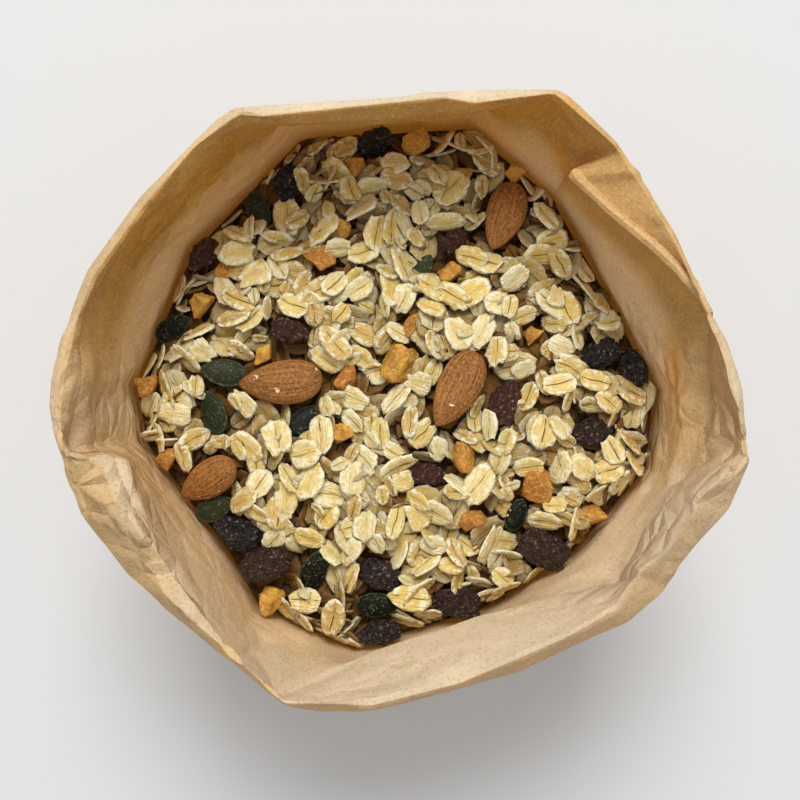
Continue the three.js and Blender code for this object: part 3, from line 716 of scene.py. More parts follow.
class MUESLI_BAG_OT_paper(bpy.types.Operator):
    """Makes the paper bag: one sheet from the floor, up the wall and over the rolled cuff"""

    bl_idname = "muesli_bag.paper"
    bl_label = "Paper Bag"

    def execute(self, context):
        settings = context.scene.muesli_bag
        angles = np.linspace(0, TURN, settings.columns, endpoint=False)
        grid, levels = sheet_grid(angles)
        grid = crumpled(creased(grid, levels), levels, settings)
        vertices, faces = sheet_mesh(grid, settings.thickness / MM)
        bag = new_piece("bag_paper", vertices * MM, faces)
        bag.data.set_sharp_from_angle(angle=math.radians(SHARP_FOLD))
        # Painted light and shade: by angle and level these shares mix the deep inside colour where the
        # inner wall lies in shade and the pale colour where it is lit; the attribute named rolled
        # carries them to the material.
        foot, wall, lip, roll, edge = at_angles(PALE_AND_PAINTED_LIGHT_SHARES, np.degrees(angles)).T
        below = np.full(len(angles), OUTER_PALE)
        shares = np.array([foot, wall, wall, lip, lip, roll, roll, edge, edge, below]).T
        inner = np.array([np.interp(levels, PALE_LEVELS, row) for row in shares]).T.ravel()
        rolled = np.concatenate([inner, np.full(len(inner), OUTER_PALE), [0, OUTER_PALE]])
        put_attribute(bag.data, "rolled", "FLOAT", rolled)
        handled = handled_shares(len(angles), levels).ravel()
        put_attribute(bag.data, "handled", "FLOAT", np.concatenate([handled, handled, [0, 0]]))
        material = paper_material(tuple(settings.inside), tuple(settings.outside))
        finish_piece(bag, material, "brown_paper", "paper_bag")
        return {"FINISHED"}


# ---- Muesli ------------------------------------------------------------------------

WALL_SAMPLES = 720  # directions in which the wall's radius is kept
HEAP_REACH = 90  # half the side of the square over which levels are kept
HEAP_CELL = 0.75
HEAP_EDGE = 80.5  # level of the core beside the paper
HEAP_MOUND = 7  # how much higher it is in the middle
HEAP_BUMPS = 1.1  # height of its soft bumps
HEAP_BUMP_WIDTH = 9
PAPER_GAP = 0.4  # between the flakes' space and the middle of the paper
CORE_GAP = 0.9  # between the core and the middle of the paper
CORE_FLOOR = 1.5  # level of the core's underside
FLAKE_THICKNESS = 0.6
FLAKE_SHAPES = 9  # different flakes of each kind
FLAKE_ALONG = (-1, -0.84, -0.3, 0.3, 0.84, 1)  # rows of points of a flake
FLAKE_ACROSS = (-1, -0.8, -0.36, 0, 0.36, 0.8, 1)
CRUMB_SCALE = 0.6
PLACES_TRIED = 5  # for each flake, of which the lowest is taken
GIVEN_UP = 0.05  # chance that a flake without a place is given up
USUAL_LEAN = 0.42  # how far flakes tilt over the slope they lie on, in radians
UPRIGHT = (0.75, 1.25)  # how far flakes tilt that stand against the paper
UPRIGHT_SHARE = 0.62  # share of such flakes beside the paper
UPRIGHT_FROM, UPRIGHT_TO = 0.76, 0.92  # how far out they begin, and reach that share
BURIED_OVERLAP = 0.3  # mm that a buried flake may reach into a nut or fruit
HIDING_SHARE = 0.2  # share of a flake on top that may lie over a nut or fruit

# Kinds of flake: share of all, half length and half width in mm, how ragged and how split they
# are, and how toasted and how floury they look.
FLAKE_KINDS = {
    "pale_flakes": {
        "share": 0.54, "half": (4.9, 3.35), "ragged": 0.05, "split": 0.12, "toast": 0.0, "pallor": 0.75,
    },
    "toasted_flakes": {
        "share": 0.28, "half": (4.7, 3.0), "ragged": 0.03, "split": 0.0, "toast": 0.45, "pallor": 0.1,
    },
    "split_flakes": {
        "share": 0.18, "half": (5.0, 3.7), "ragged": 0.08, "split": 0.4, "toast": 0.12, "pallor": 0.6,
    },
}


class MuesliSettings(bpy.types.PropertyGroup):
    """Amounts, sizes and colours of the muesli"""

    buried: bpy.props.IntProperty(
        name="Buried Flakes", description="Flakes under the nuts and fruit", default=820, min=0
    )
    on_top: bpy.props.IntProperty(
        name="Top Flakes", description="Flakes between the nuts and fruit", default=1080, min=0
    )
    crumbs: bpy.props.IntProperty(
        name="Crumbs", description="Broken bits of flake", default=50, min=0
    )
    spread: bpy.props.FloatProperty(
        name="Size Spread", description="How unlike in size the flakes are", default=0.1, min=0, max=0.5
    )
    seed: bpy.props.IntProperty(name="Seed", description="Scatter of the flakes", default=11)
    oat: bpy.props.FloatVectorProperty(
        name="Oat", description="Colour of the flakes", subtype="COLOR",
        default=(0.92, 0.71, 0.25), min=0, max=1,
    )
    # Colour of the floury edges, also used as a painted highlight along the flakes' rims.
    starch: bpy.props.FloatVectorProperty(
        name="Starch", description="Colour of their floury edges", subtype="COLOR",
        default=(1.0, 0.95, 0.66), min=0, max=1,
    )
    bran: bpy.props.FloatVectorProperty(
        name="Bran", description="Colour of their creases", subtype="COLOR",
        default=(0.36, 0.19, 0.06), min=0, max=1,
    )


def wall_radii():
    """Radius of the inside of the paper at the level of the muesli, in all directions."""
    angles = np.linspace(0, TURN, WALL_SAMPLES, endpoint=False)
    return np.hypot(*outline(BELLY, angles).T) - PAPER_GAP


def solid_frame(node, pointed=False):
    """Middle, axes and half sizes of a CAD node in mm: longest axis first, the flat one last."""
    mesh = frame["nodes"][node].data
    points = np.array([vertex.co for vertex in mesh.vertices]) / MM
    points = np.unique(np.round(points, 3), axis=0)
    middle = points.mean(axis=0)
    axes = np.linalg.svd(points - middle)[2]
    if axes[2, 2] < 0:
        axes[2] *= -1
    if pointed:
        spans = (points - middle) @ axes.T
        girth = np.hypot(spans[:, 1], spans[:, 2])
        ahead, behind = spans[:, 0] > 0, spans[:, 0] < 0
        if girth[ahead].mean() > girth[behind].mean():
            axes[0] *= -1
    axes[1] = np.cross(axes[2], axes[0])
    spans = (points - middle) @ axes.T
    low, high = spans.min(axis=0), spans.max(axis=0)
    return middle + (low + high) / 2 @ axes, axes, (high - low) / 2


class Heap:
    """Levels of the muesli's surface on a square grid, raised by each thing that is laid down."""

    def __init__(self):
        axis = np.arange(-HEAP_REACH, HEAP_REACH + HEAP_CELL, HEAP_CELL)
        self.x, self.y = np.meshgrid(axis, axis)
        self.radii = wall_radii()
        self.level = self.mound(self.x, self.y)
        places = np.dstack([self.x, self.y, np.zeros(self.x.shape)]).reshape(-1, 3)
        bumps = smooth_noise(places, HEAP_BUMP_WIDTH, 3)
        self.level += HEAP_BUMPS * bumps.reshape(self.x.shape)
        self.start = self.level.copy()
        self.under = np.full(self.x.shape, np.inf)
        self.covered = np.zeros(self.x.shape, bool)

    def share(self, x, y):
        """How far out a place is: 0 in the middle, 1 at the paper."""
        turn = np.arctan2(y, x) % TURN * WALL_SAMPLES / TURN
        return np.hypot(x, y) / self.radii[np.round(turn).astype(int) % WALL_SAMPLES]

    def mound(self, x, y):
        """Level of the core, without its bumps."""
        return HEAP_EDGE + HEAP_MOUND * (1 - np.minimum(1, self.share(x, y)) ** 2.4)

    def window(self, x, y, reach):
        """The part of the grid round a place."""
        low = np.floor((np.array([y, x]) - reach + HEAP_REACH) / HEAP_CELL).astype(int)
        high = np.ceil((np.array([y, x]) + reach + HEAP_REACH) / HEAP_CELL).astype(int) + 1
        low = np.maximum(low, 0)
        return slice(low[0], high[0]), slice(low[1], high[1])

    def add_solid(self, middle, axes, half):
        """Marks where a nut or fruit lies, as an ellipsoid."""
        part = self.window(middle[0], middle[1], half.max() + 1)
        x, y = self.x[part] - middle[0], self.y[part] - middle[1]
        along = x * axes[0, 0] + y * axes[0, 1]
        across = x * axes[1, 0] + y * axes[1, 1]
        inside = (along / half[0]) ** 2 + (across / half[1]) ** 2
        here = inside < 1
        bulge = half[2] * np.sqrt(np.clip(1 - inside, 0, 1))
        tilted = middle[2] - (x * axes[2, 0] + y * axes[2, 1]) / axes[2, 2]
        self.under[part][here] = (tilted - bulge)[here]
        self.covered[part] |= here
        return part, here, tilted + bulge

    def rest(self, x, y, heading, half, lean, sink):
        """Where a flake comes to rest: (height, slopes, part of the grid, cells under it) or None."""
        part = self.window(x, y, half[0])
        dx, dy = self.x[part] - x, self.y[part] - y
        along = dx * math.cos(heading) + dy * math.sin(heading)
        across = dy * math.cos(heading) - dx * math.sin(heading)
        cells = (along / half[0]) ** 2 + (across / (half[1] * math.cos(lean))) ** 2 < 1
        if cells.sum() < 8:
            return None
        dx, dy, level = dx[cells], dy[cells], self.level[part][cells]
        design = np.column_stack([np.ones(len(dx)), dx, dy])
        _, slope_x, slope_y = np.linalg.lstsq(design, level, rcond=None)[0]
        steep = max(1, math.hypot(slope_x, slope_y) / 0.7)
        slope_x, slope_y = slope_x / steep, slope_y / steep
        slope_x -= math.sin(heading) * math.tan(lean)
        slope_y += math.cos(heading) * math.tan(lean)
        gap = level - slope_x * dx - slope_y * dy
        return np.quantile(gap, 1 - sink), (slope_x, slope_y), part, cells

    def inside_paper(self, x, y, heading, half, lean):
        """Whether the whole outline of a flake is inside the bag."""
        turns = np.linspace(0, TURN, 8, endpoint=False)
        along = half[0] * np.cos(turns)
        across = half[1] * math.cos(lean) * np.sin(turns)
        edge_x = x + along * math.cos(heading) - across * math.sin(heading)
        edge_y = y + along * math.sin(heading) + across * math.cos(heading)
        return (self.share(edge_x, edge_y) < 0.99).all()


def scatter(heap, count, rng, scale, buried):
    """Lays flakes one by one, each on the lowest of a few places.

    Each row holds a flake's kind, place, turn, half sizes and tint, and the cells of the heap that
    it lies on, with the level of its upper side there.
    """
    laid = []
    names = list(FLAKE_KINDS)
    shares = np.array([FLAKE_KINDS[name]["share"] for name in names])
    while len(laid) < count:
        kind = names[rng.choice(len(names), p=shares / shares.sum())]
        size = scale * np.clip(1 + 0.14 * rng.standard_normal(), 0.6, 1.35)
        half = np.array(FLAKE_KINDS[kind]["half"]) * size * (1 + 0.07 * rng.standard_normal(2))
        best = None
        for _ in range(PLACES_TRIED):
            turn, share = rng.random() * TURN, math.sqrt(rng.random())
            radius = heap.radii[int(turn / TURN * WALL_SAMPLES)] * share
            x, y = radius * math.cos(turn), radius * math.sin(turn)
            heading = rng.random() * TURN
            lean = abs(rng.standard_normal()) * USUAL_LEAN
            nearness = np.clip((share - UPRIGHT_FROM) / (UPRIGHT_TO - UPRIGHT_FROM), 0, 1)
            if rng.random() < nearness * UPRIGHT_SHARE:
                lean = rng.uniform(*UPRIGHT)
                heading = turn + math.pi / 2 + rng.normal() * 0.8
            lean = min(lean, UPRIGHT[1]) * rng.choice((-1, 1))
            if not heap.inside_paper(x, y, heading, half, abs(lean)):
                continue
            found = heap.rest(x, y, heading, half, abs(lean), 0.12 + 0.25 * abs(math.sin(lean)))
            if found is None:
                continue
            base, slopes, part, cells = found
            dx, dy = heap.x[part][cells] - x, heap.y[part][cells] - y
            top = base + slopes[0] * dx + slopes[1] * dy + FLAKE_THICKNESS
            if buried and (top > heap.under[part][cells] + BURIED_OVERLAP).any():
                continue
            if not buried and heap.covered[part][cells].mean() > HIDING_SHARE:
                continue
            score = base - heap.mound(x, y)
            if best is None or score < best[0]:
                best = (score, x, y, heading, half, base, slopes, part, cells, top)
        if best is None:
            count -= rng.random() < GIVEN_UP
            continue
        _, x, y, heading, half, base, slopes, part, cells, top = best
        level = heap.level[part]
        level[cells] = np.maximum(level[cells], top)
        normal = Vector((-slopes[0], -slopes[1], 1)).normalized()
        forward = Vector((math.cos(heading), math.sin(heading), 0))
        forward = (forward - normal * forward.dot(normal)).normalized()
        axes = Matrix((forward, normal.cross(forward), normal)).transposed()
        place = (x, y, base + FLAKE_THICKNESS / 2)
        laid.append((kind, place, tuple(axes.to_euler()), half, rng.random(), part, cells, top))
    return laid


def sunk_depths(heap, laid):
    """How deep in mm each flake lies under the things laid on it later."""
    return [np.mean(heap.level[part][cells] - top) for *_, part, cells, top in laid]


def flake_shape(rng, ragged, split):
    """One oat flake, 2 long and 2 wide: points, faces, flat places and depth of its crease."""
    u, v = np.meshgrid(FLAKE_ALONG, FLAKE_ACROSS, indexing="ij")
    x, y = u * np.sqrt(1 - v * v / 2), v * np.sqrt(1 - u * u / 2)
    reach, turn = np.hypot(x, y), np.arctan2(y, x)
    circle = np.dstack([np.cos(turn), np.sin(turn), np.zeros(turn.shape)]).reshape(-1, 3)
    wobble = smooth_noise(circle, 0.5, int(rng.integers(1e6))).reshape(turn.shape)
    jag = rng.normal(0, ragged, x.shape) * (reach > 0.9)
    notch = split * np.exp(-(((turn - rng.normal(0, 0.3)) / 0.25) ** 2)) * reach**3
    grown = 1 + 0.07 * wobble + jag - notch
    taper = 1 - rng.uniform(0, 0.25) * x
    curl, cup, twist = rng.normal(0.1, 0.45), rng.normal(0, 0.35), rng.normal(0, 0.35)
    middle = curl * x**2 + cup * y**2 + twist * x * y + rng.normal(0, 0.06, x.shape)
    lobes = 1 + 0.7 * np.exp(-(((np.abs(v) - 0.45) / 0.3) ** 2))
    body = FLAKE_THICKNESS / 2 * np.clip(1.6 - reach**4, 0, 1) * lobes
    depth = rng.choice((0.05, 0.12, 0.2, 0.3, 0.4))
    groove = depth * np.exp(-((v / 0.22) ** 2)) * (1 - np.abs(u) ** 4)
    flat = np.stack([x * grown, y * grown * taper], axis=-1)
    rim = np.ones(x.shape, bool)
    rim[1:-1, 1:-1] = False
    top = np.dstack([flat, middle + np.where(rim, 0, body - groove)]).reshape(-1, 3)
    bottom = np.dstack([flat, middle - body + 0.4 * groove])[1:-1, 1:-1].reshape(-1, 3)
    index = np.arange(x.size).reshape(x.shape)
    under = index.copy()
    under[1:-1, 1:-1] = x.size + np.arange(len(bottom)).reshape(under[1:-1, 1:-1].shape)
    faces = []
    for grid, corners in ((index, (0, 1, 2, 3)), (under, (3, 2, 1, 0))):
        quads = np.stack([grid[:-1, :-1], grid[1:, :-1], grid[1:, 1:], grid[:-1, 1:]], axis=-1)
        faces += quads[:, :, corners].reshape(-1, 4).tolist()
    places = np.dstack([x, y, reach])
    places = np.concatenate([places.reshape(-1, 3), places[1:-1, 1:-1].reshape(-1, 3)])
    return np.concatenate([top, bottom]), faces, places, depth


def scatter_tree():
    """Geometry nodes that put one of some shapes on each point and make one plain mesh of them."""
    tree = bpy.data.node_groups.new("scattered_flakes", "GeometryNodeTree")
    add_socket = tree.interface.new_socket
    add_socket("Points", in_out="INPUT", socket_type="NodeSocketGeometry")
    add_socket("Shapes", in_out="INPUT", socket_type="NodeSocketCollection")
    spread = add_socket("Size Spread", in_out="INPUT", socket_type="NodeSocketFloat")
    spread.default_value = 0.1
    seed = add_socket("Seed", in_out="INPUT", socket_type="NodeSocketInt")
    seed.default_value = 1
    add_socket("Material", in_out="INPUT", socket_type="NodeSocketMaterial")
    add_socket("Flakes", in_out="OUTPUT", socket_type="NodeSocketGeometry")
    nodes = Nodes(tree)
    given = nodes.add("NodeGroupInput").outputs

    def attribute(name, kind):
        made = nodes.add("GeometryNodeInputNamedAttribute", {"Name": name}, data_type=kind)
        return made.outputs["Attribute"]

    smallest = nodes.maths("SUBTRACT", 1.0, given["Size Spread"])
    largest = nodes.maths("ADD", 1.0, given["Size Spread"])
    limits = {2: smallest, 3: largest, "Seed": given["Seed"]}
    factor = nodes.add("FunctionNodeRandomValue", limits, data_type="FLOAT")
    size = nodes.scaled(attribute("size", "FLOAT_VECTOR"), factor.outputs[1])
    shapes = nodes.add(
        "GeometryNodeCollectionInfo",
        {"Collection": given["Shapes"], "Separate Children": True, "Reset Children": True},
    )
    placed = nodes.add("GeometryNodeInstanceOnPoints", {
        "Points": given["Points"], "Instance": shapes.outputs["Instances"], "Pick Instance": True,
        "Instance Index": attribute("shape", "INT"), "Rotation": attribute("turn", "FLOAT_VECTOR"),
        "Scale": size,
    })
    joined = nodes.add("GeometryNodeRealizeInstances", {"Geometry": placed.outputs["Instances"]})
    dressed = nodes.add(
        "GeometryNodeSetMaterial", {"Geometry": joined.outputs[0], "Material": given["Material"]}
    )
    nodes.add("NodeGroupOutput", {"Flakes": dressed.outputs[0]})
    return tree


def scattered_piece(name, laid, sunk, kind, material, settings, rng):
    """A plain mesh of all laid flakes of one kind."""
    shapes = bpy.data.collections.new(name + "_shapes")
    for k in range(FLAKE_SHAPES):
        points, faces, places, depth = flake_shape(rng, kind["ragged"], kind["split"])
        shape = new_piece(f"{name}_shape_{k}", points * MM, faces)
        put_attribute(shape.data, "flake_place", "FLOAT_VECTOR", places)
        put_attribute(shape.data, "crease_depth", "FLOAT", np.full(len(points), depth / 0.4))
        bpy.context.scene.collection.objects.unlink(shape)
        shapes.objects.link(shape)
    points = new_piece(name + "_points", np.array([row[1] for row in laid]) * MM, [], smooth=False)
    put_attribute(points.data, "turn", "FLOAT_VECTOR", [row[2] for row in laid])
    sizes = [(row[3][0], row[3][1], 1) for row in laid]
    put_attribute(points.data, "size", "FLOAT_VECTOR", sizes)
    put_attribute(points.data, "shape", "INT", rng.integers(0, FLAKE_SHAPES, len(laid)))
    put_attribute(points.data, "tint", "FLOAT", [row[4] for row in laid])
    put_attribute(points.data, "sunk", "FLOAT", sunk)
    modifier = points.modifiers.new("scatter", "NODES")
    modifier.node_group = bpy.data.node_groups.get("scattered_flakes") or scatter_tree()
    values = {
        "Shapes": shapes, "Size Spread": settings.spread, "Seed": settings.seed, "Material": material,
    }
    for item in modifier.node_group.interface.items_tree:
        if item.in_out == "INPUT" and item.name in values:
            modifier[item.identifier] = values[item.name]
    depsgraph = bpy.context.evaluated_depsgraph_get()
    mesh = bpy.data.meshes.new_from_object(points.evaluated_get(depsgraph))
    mesh.shade_smooth()
    piece = bpy.data.objects.new(name, mesh)
    bpy.context.scene.collection.objects.link(piece)
    for shape in list(shapes.objects):
        bpy.data.objects.remove(shape)
    bpy.data.collections.remove(shapes)
    bpy.data.objects.remove(points)
    return piece


def flake_material(name, settings, toast, pallor):
    """Oat flake: cream with a brown crease, fine veins and pale torn edges, partly floury and partly a
    painted highlight; painted shade darkens flakes that lie sunk under others.
    """
    material, nodes, shader, place = new_material(name)
    own = nodes.attribute("flake_place", "Vector")
    tint = nodes.attribute("tint")
    _, own_y, reach = nodes.add("ShaderNodeSeparateXYZ", {"Vector": own}).outputs
    wander = nodes.remap(nodes.noise(place, 230, 0), 0, 1, -0.16, 0.16)
    side = nodes.maths("ABSOLUTE", nodes.maths("ADD", own_y, wander))
    crease = nodes.remap(side, 0.0, 0.06, 1, 0)
    for fade in (
        nodes.remap(reach, 0.55, 0.95, 1, 0),
        nodes.remap(nodes.noise(place, 330, 0), 0.3, 0.5, 0.2, 1),
        nodes.remap(nodes.attribute("crease_depth"), 0.2, 0.9, 0.05, 1),
    ):
        crease = nodes.times(crease, fade)
    lengthwise = nodes.stretched(own, (0.9, 6, 1))
    veins = nodes.noise(nodes.vector("ADD", lengthwise, nodes.scaled(place, 25.0)), 1.5, 3, 0.6)
    mottle = nodes.noise(place, 170, 2, 0.6)
    torn = nodes.noise(place, 560, 2, 0.65)

    oat, starch, bran = (tuple(getattr(settings, key)) for key in ("oat", "starch", "bran"))
    warm = tuple(o * (1 - toast) + b * toast for o, b in zip(oat, (0.6, 0.36, 0.13)))
    tan = tuple(w * f for w, f in zip(warm, (0.8, 0.7, 0.42)))
    # Painted shade: the dark colour given to flakes that lie sunk under others.
    painted_sunk_shade = tuple(w * f for w, f in zip(warm, (0.2, 0.11, 0.05)))
    pale = tuple(w * (1 - pallor) + s * pallor for w, s in zip(warm, starch))
    base = nodes.tinted(warm, tint, 0.1, 0.9, pale)
    base = nodes.mix(nodes.remap(side, 0.05, 0.4, 0.35, 0), base, tan)
    base = nodes.tinted(base, mottle, 0.48, 0.7, tan, 0.6)
    base = nodes.tinted(base, veins, 0.48, 0.62, tan, 0.5)
    fringe = nodes.maths("ADD", reach, nodes.remap(torn, 0.3, 0.7, -0.22, 0.22))
    # Pale rims: partly floury torn edges, partly a painted highlight along the flakes' thin edges.
    rim = nodes.times(nodes.remap(fringe, 0.82, 0.96), nodes.remap(tint, 0, 0.3, 0.3, 1))
    flour = nodes.times(nodes.remap(fringe, 0.5, 0.9), nodes.remap(torn, 0.48, 0.56))
    base = nodes.mix(nodes.maths("MAXIMUM", flour, rim), base, starch)
    base = nodes.mix(nodes.times(crease, 0.7), base, bran)
    # Painted shade: flakes sunk deeper under later ones are darkened towards that colour.
    base = nodes.tinted(base, nodes.attribute("sunk"), 0.5, 2.6, painted_sunk_shade, 0.95)
    height = nodes.maths("SUBTRACT", veins, nodes.times(crease, 1.4))
    height = nodes.maths("ADD", height, nodes.times(torn, 0.8))
    roughness = nodes.remap(mottle, 0.3, 0.7, 0.55, 0.8)
    fill_shader(nodes, shader, base, roughness, 0.06, nodes.bump(height, 0.0007))
    return material


def core_material():
    """Painted shade: a near-black oat colour that stands for the shade in the gaps between the flakes.
    """
    material, nodes, shader, place = new_material("deep_oats")
    spots = nodes.noise(place, 320, 3, 0.6)
    base = nodes.tinted((0.03, 0.015, 0.006), spots, 0.35, 0.65, (0.14, 0.08, 0.03))
    fill_shader(nodes, shader, base, 0.9, 0.5, nodes.bump(spots, 0.0012))
    return material


def core_piece(heap):
    """The heap under the flakes, down to the floor of the bag."""
    angles = np.linspace(0, TURN, 180, endpoint=False)

    def side(height):
        return polar(wall_radius(angles, height) - CORE_GAP, angles, height)

    def top(share):
        turn = (angles * WALL_SAMPLES / TURN).astype(int)
        x, y = share * heap.radii[turn] * np.cos(angles), share * heap.radii[turn] * np.sin(angles)
        columns = np.round((x + HEAP_REACH) / HEAP_CELL).astype(int)
        rows = np.round((y + HEAP_REACH) / HEAP_CELL).astype(int)
        return np.column_stack([x, y, heap.start[rows, columns]])

    shares = np.linspace(0.985, 0.02, 46)
    grid = np.array([
        polar(base_radius(angles) * 0.02, angles, CORE_FLOOR),
        polar(base_radius(angles) - 4, angles, CORE_FLOOR),
        *(side(height) for height in (5, *WALL_LEVELS[1:], HEAP_EDGE - 1)),
        *(top(share) for share in shares),
    ])
    index, _, quads = tube_faces(*grid.shape[:2])
    faces = [*quads.tolist(), index[0, ::-1].tolist(), index[-1].tolist()]
    return new_piece("muesli_core", grid.reshape(-1, 3) * MM, faces)


class MUESLI_BAG_OT_muesli(bpy.types.Operator):
    """Lays the oat flakes one by one on the heap's core, under and between the nuts and fruit"""

    bl_idname = "muesli_bag.muesli"
    bl_label = "Muesli"

    def execute(self, context):
        settings = context.scene.muesli
        rng = np.random.default_rng(settings.seed)
        heap = Heap()
        tops = []
        for prefix, kind in TOPPINGS.items():
            for node in nodes_of(prefix):
                tops.append(heap.add_solid(*solid_frame(node, kind["pointed"])))
        laid = scatter(heap, settings.buried, rng, 1, True)
        for part, here, top in tops:
            level = heap.level[part]
            level[here] = np.maximum(level[here], top[here])
        laid += scatter(heap, settings.on_top, rng, 1, False)
        laid += scatter(heap, settings.crumbs, rng, CRUMB_SCALE, False)
        core = core_piece(heap)
        finish_piece(core, core_material(), "oats", "muesli")
        for name, kind in FLAKE_KINDS.items():
            material = flake_material(name, settings, kind["toast"], kind["pallor"])
            rows = [row for row in laid if row[0] == name]
            sunk = sunk_depths(heap, rows)
            piece = scattered_piece(name, rows, sunk, kind, material, settings, rng)
            finish_piece(piece, material, "oats", "muesli")
        return {"FINISHED"}


# ---- Nuts and fruit ------------------------------------------------------------------

# Kinds of topping: whether one end is pointed, the material slot, and how often its ball is split.
TOPPINGS = {
    "almond": {"pointed": True, "slot": "almond_skin", "level": 6},
    "raisin": {"pointed": False, "slot": "raisin", "level": 5},
    "pumpkin_seed": {"pointed": True, "slot": "pumpkin_seed", "level": 5},
    "dried_fruit": {"pointed": False, "slot": "dried_fruit", "level": 4},
}


class ToppingSettings(bpy.types.PropertyGroup):
    """Colours of the nuts, seeds and fruit"""

    almond: bpy.props.FloatVectorProperty(
        name="Almond", description="Colour of the almond skin", subtype="COLOR",
        default=(0.35, 0.14, 0.03), min=0, max=1,
    )
    raisin: bpy.props.FloatVectorProperty(
        name="Raisin", description="Colour of the raisins", subtype="COLOR",
        default=(0.007, 0.006, 0.008), min=0, max=1,
    )
    pumpkin_seed: bpy.props.FloatVectorProperty(
        name="Pumpkin Seed", description="Colour of the pumpkin seeds", subtype="COLOR",
        default=(0.004, 0.006, 0.003), min=0, max=1,
    )
    dried_fruit: bpy.props.FloatVectorProperty(
        name="Dried Fruit", description="Colour of the dried fruit", subtype="COLOR",
        default=(0.8, 0.42, 0.05), min=0, max=1,
    )
    seed: bpy.props.IntProperty(name="Seed", description="Wrinkles and dents", default=23)


def nodes_of(prefix):
    """The CAD nodes of one kind, in order."""
    names = [name for name in frame["nodes"] if name.rsplit("_", 1)[0] == prefix]
    return sorted(names, key=lambda name: int(name.rsplit("_", 1)[1]))


def ball(level):
    """Points and triangles of an even ball of radius 1."""
    mesh = bmesh.new()
    bmesh.ops.create_icosphere(mesh, subdivisions=level, radius=1)
    points = np.array([vertex.co for vertex in mesh.verts])
    faces = [[vertex.index for vertex in face.verts] for face in mesh.faces]
    mesh.free()
    return points, faces


def folds(points, spacing, seed):
    """Round ridges with sharp valleys between them, from 0 to about 1."""
    return np.abs(smooth_noise(points, spacing, seed)) ** 0.6


def almond_shape(ball_points, seed):
    """A drop with a blunt and a pointed end, and shallow grooves from end to end."""
    x, y, z = ball_points.T
    x = np.sign(x) * np.abs(x) ** 0.96
    girth = (1 - x) ** 0.72 * (1 + x) ** 0.47 / 1.02
    around = np.hypot(y, z)
    side, up = y / np.maximum(around, 1e-6), z / np.maximum(around, 1e-6)
    lined = np.column_stack([x * 0.8, side * 5, up * 5])
    groove = folds(lined, 1, seed) + 0.5 * folds(lined * 2.1, 1, seed + 1)
    fade = np.clip((1 - np.abs(x)) / 0.2, 0, 1)
    girth = girth * (1 - 0.035 * fade * (1.2 - groove))
    bend = 0.05 * (1 - x * x)
    shape = np.column_stack([x, side * girth + bend, up * girth])
    return shape, np.column_stack([x, side, up])


def raisin_shape(ball_points, seed):
    """A shrivelled berry with deep folds and fine wrinkles."""
    stretched = ball_points * (0.75, 1, 1)
    bent = stretched + 0.2 * drift(stretched, 0.5, seed)
    deep = folds(bent, 0.5, seed)
    fine = folds(bent, 0.22, seed + 4) + 0.5 * folds(bent, 0.11, seed + 6)
    lump = smooth_noise(ball_points, 0.9, seed + 5)
    reach = 0.62 + 0.24 * deep + 0.13 * fine + 0.17 * lump
    return ball_points * reach[:, None], ball_points


def seed_shape(ball_points, seed):
    """A flat drop with a raised rim."""
    x, y, z = ball_points.T
    girth = (1 - x) ** 0.66 * (1 + x) ** 0.5 / 1.02 / np.sqrt(np.maximum(1 - x * x, 1e-6))
    reach = np.hypot(x, y)
    rim = np.exp(-(((reach - 0.93) / 0.045) ** 2))
    dent = np.exp(-(((reach - 0.8) / 0.09) ** 2))
    flat = np.sign(z) * (np.abs(z) ** 0.8 * (0.95 - 0.22 * dent) + 0.1 * rim)
    bow = 0.12 * smooth_noise(ball_points * (1, 1, 0), 1.2, seed) * (1 - reach**2)
    return np.column_stack([x, y * np.minimum(girth, 1.3), flat + bow]), ball_points


def fruit_shape(ball_points, seed):
    """A small uneven block with blunt corners, sloping sides and a rough skin."""
    bluntness = 6.5
    block = ball_points / np.linalg.norm(ball_points, ord=bluntness, axis=1, keepdims=True)
    rng = np.random.default_rng(seed)
    slopes = rng.uniform(-0.35, 0.35, 4)
    x, y, z = block.T
    sloped = np.column_stack([
        x * (1 + slopes[0] * y) + slopes[3] * y, y * (1 + slopes[1] * z), z * (1 + slopes[2] * x),
    ])
    rough = 0.07 * smooth_noise(block, 0.45, seed + 4) + 0.05 * smooth_noise(block, 0.2, seed + 5)
    return sloped * (0.9 + rough[:, None]) + 0.2 * drift(block, 1.1, seed), block


SHAPES = {
    "almond": almond_shape, "raisin": raisin_shape, "pumpkin_seed": seed_shape,
    "dried_fruit": fruit_shape,
}


def toppings_mesh(prefix, kind, seed):
    """All things of one kind as one mesh, each in the place and size of its CAD node."""
    points, faces = ball(kind["level"])
    corners, polygons, places, tints = [], [], [], []
    rng = np.random.default_rng(seed)
    for number, node in enumerate(nodes_of(prefix)):
        middle, axes, half = solid_frame(node, kind["pointed"])
        shape, place = SHAPES[prefix](points, seed + 31 * number)
        low, high = shape.min(axis=0), shape.max(axis=0)
        shape = (shape - (low + high) / 2) * 2 / (high - low) * half
        corners.append(middle + shape @ axes)
        polygons += [[corner + number * len(points) for corner in face] for face in faces]
        places.append(place)
        tints += [rng.random()] * len(points)
    piece = new_piece(prefix + "s", np.concatenate(corners) * MM, polygons)
    put_attribute(piece.data, "own_place", "FLOAT_VECTOR", np.concatenate(places))
    put_attribute(piece.data, "tint", "FLOAT", tints)
    return piece


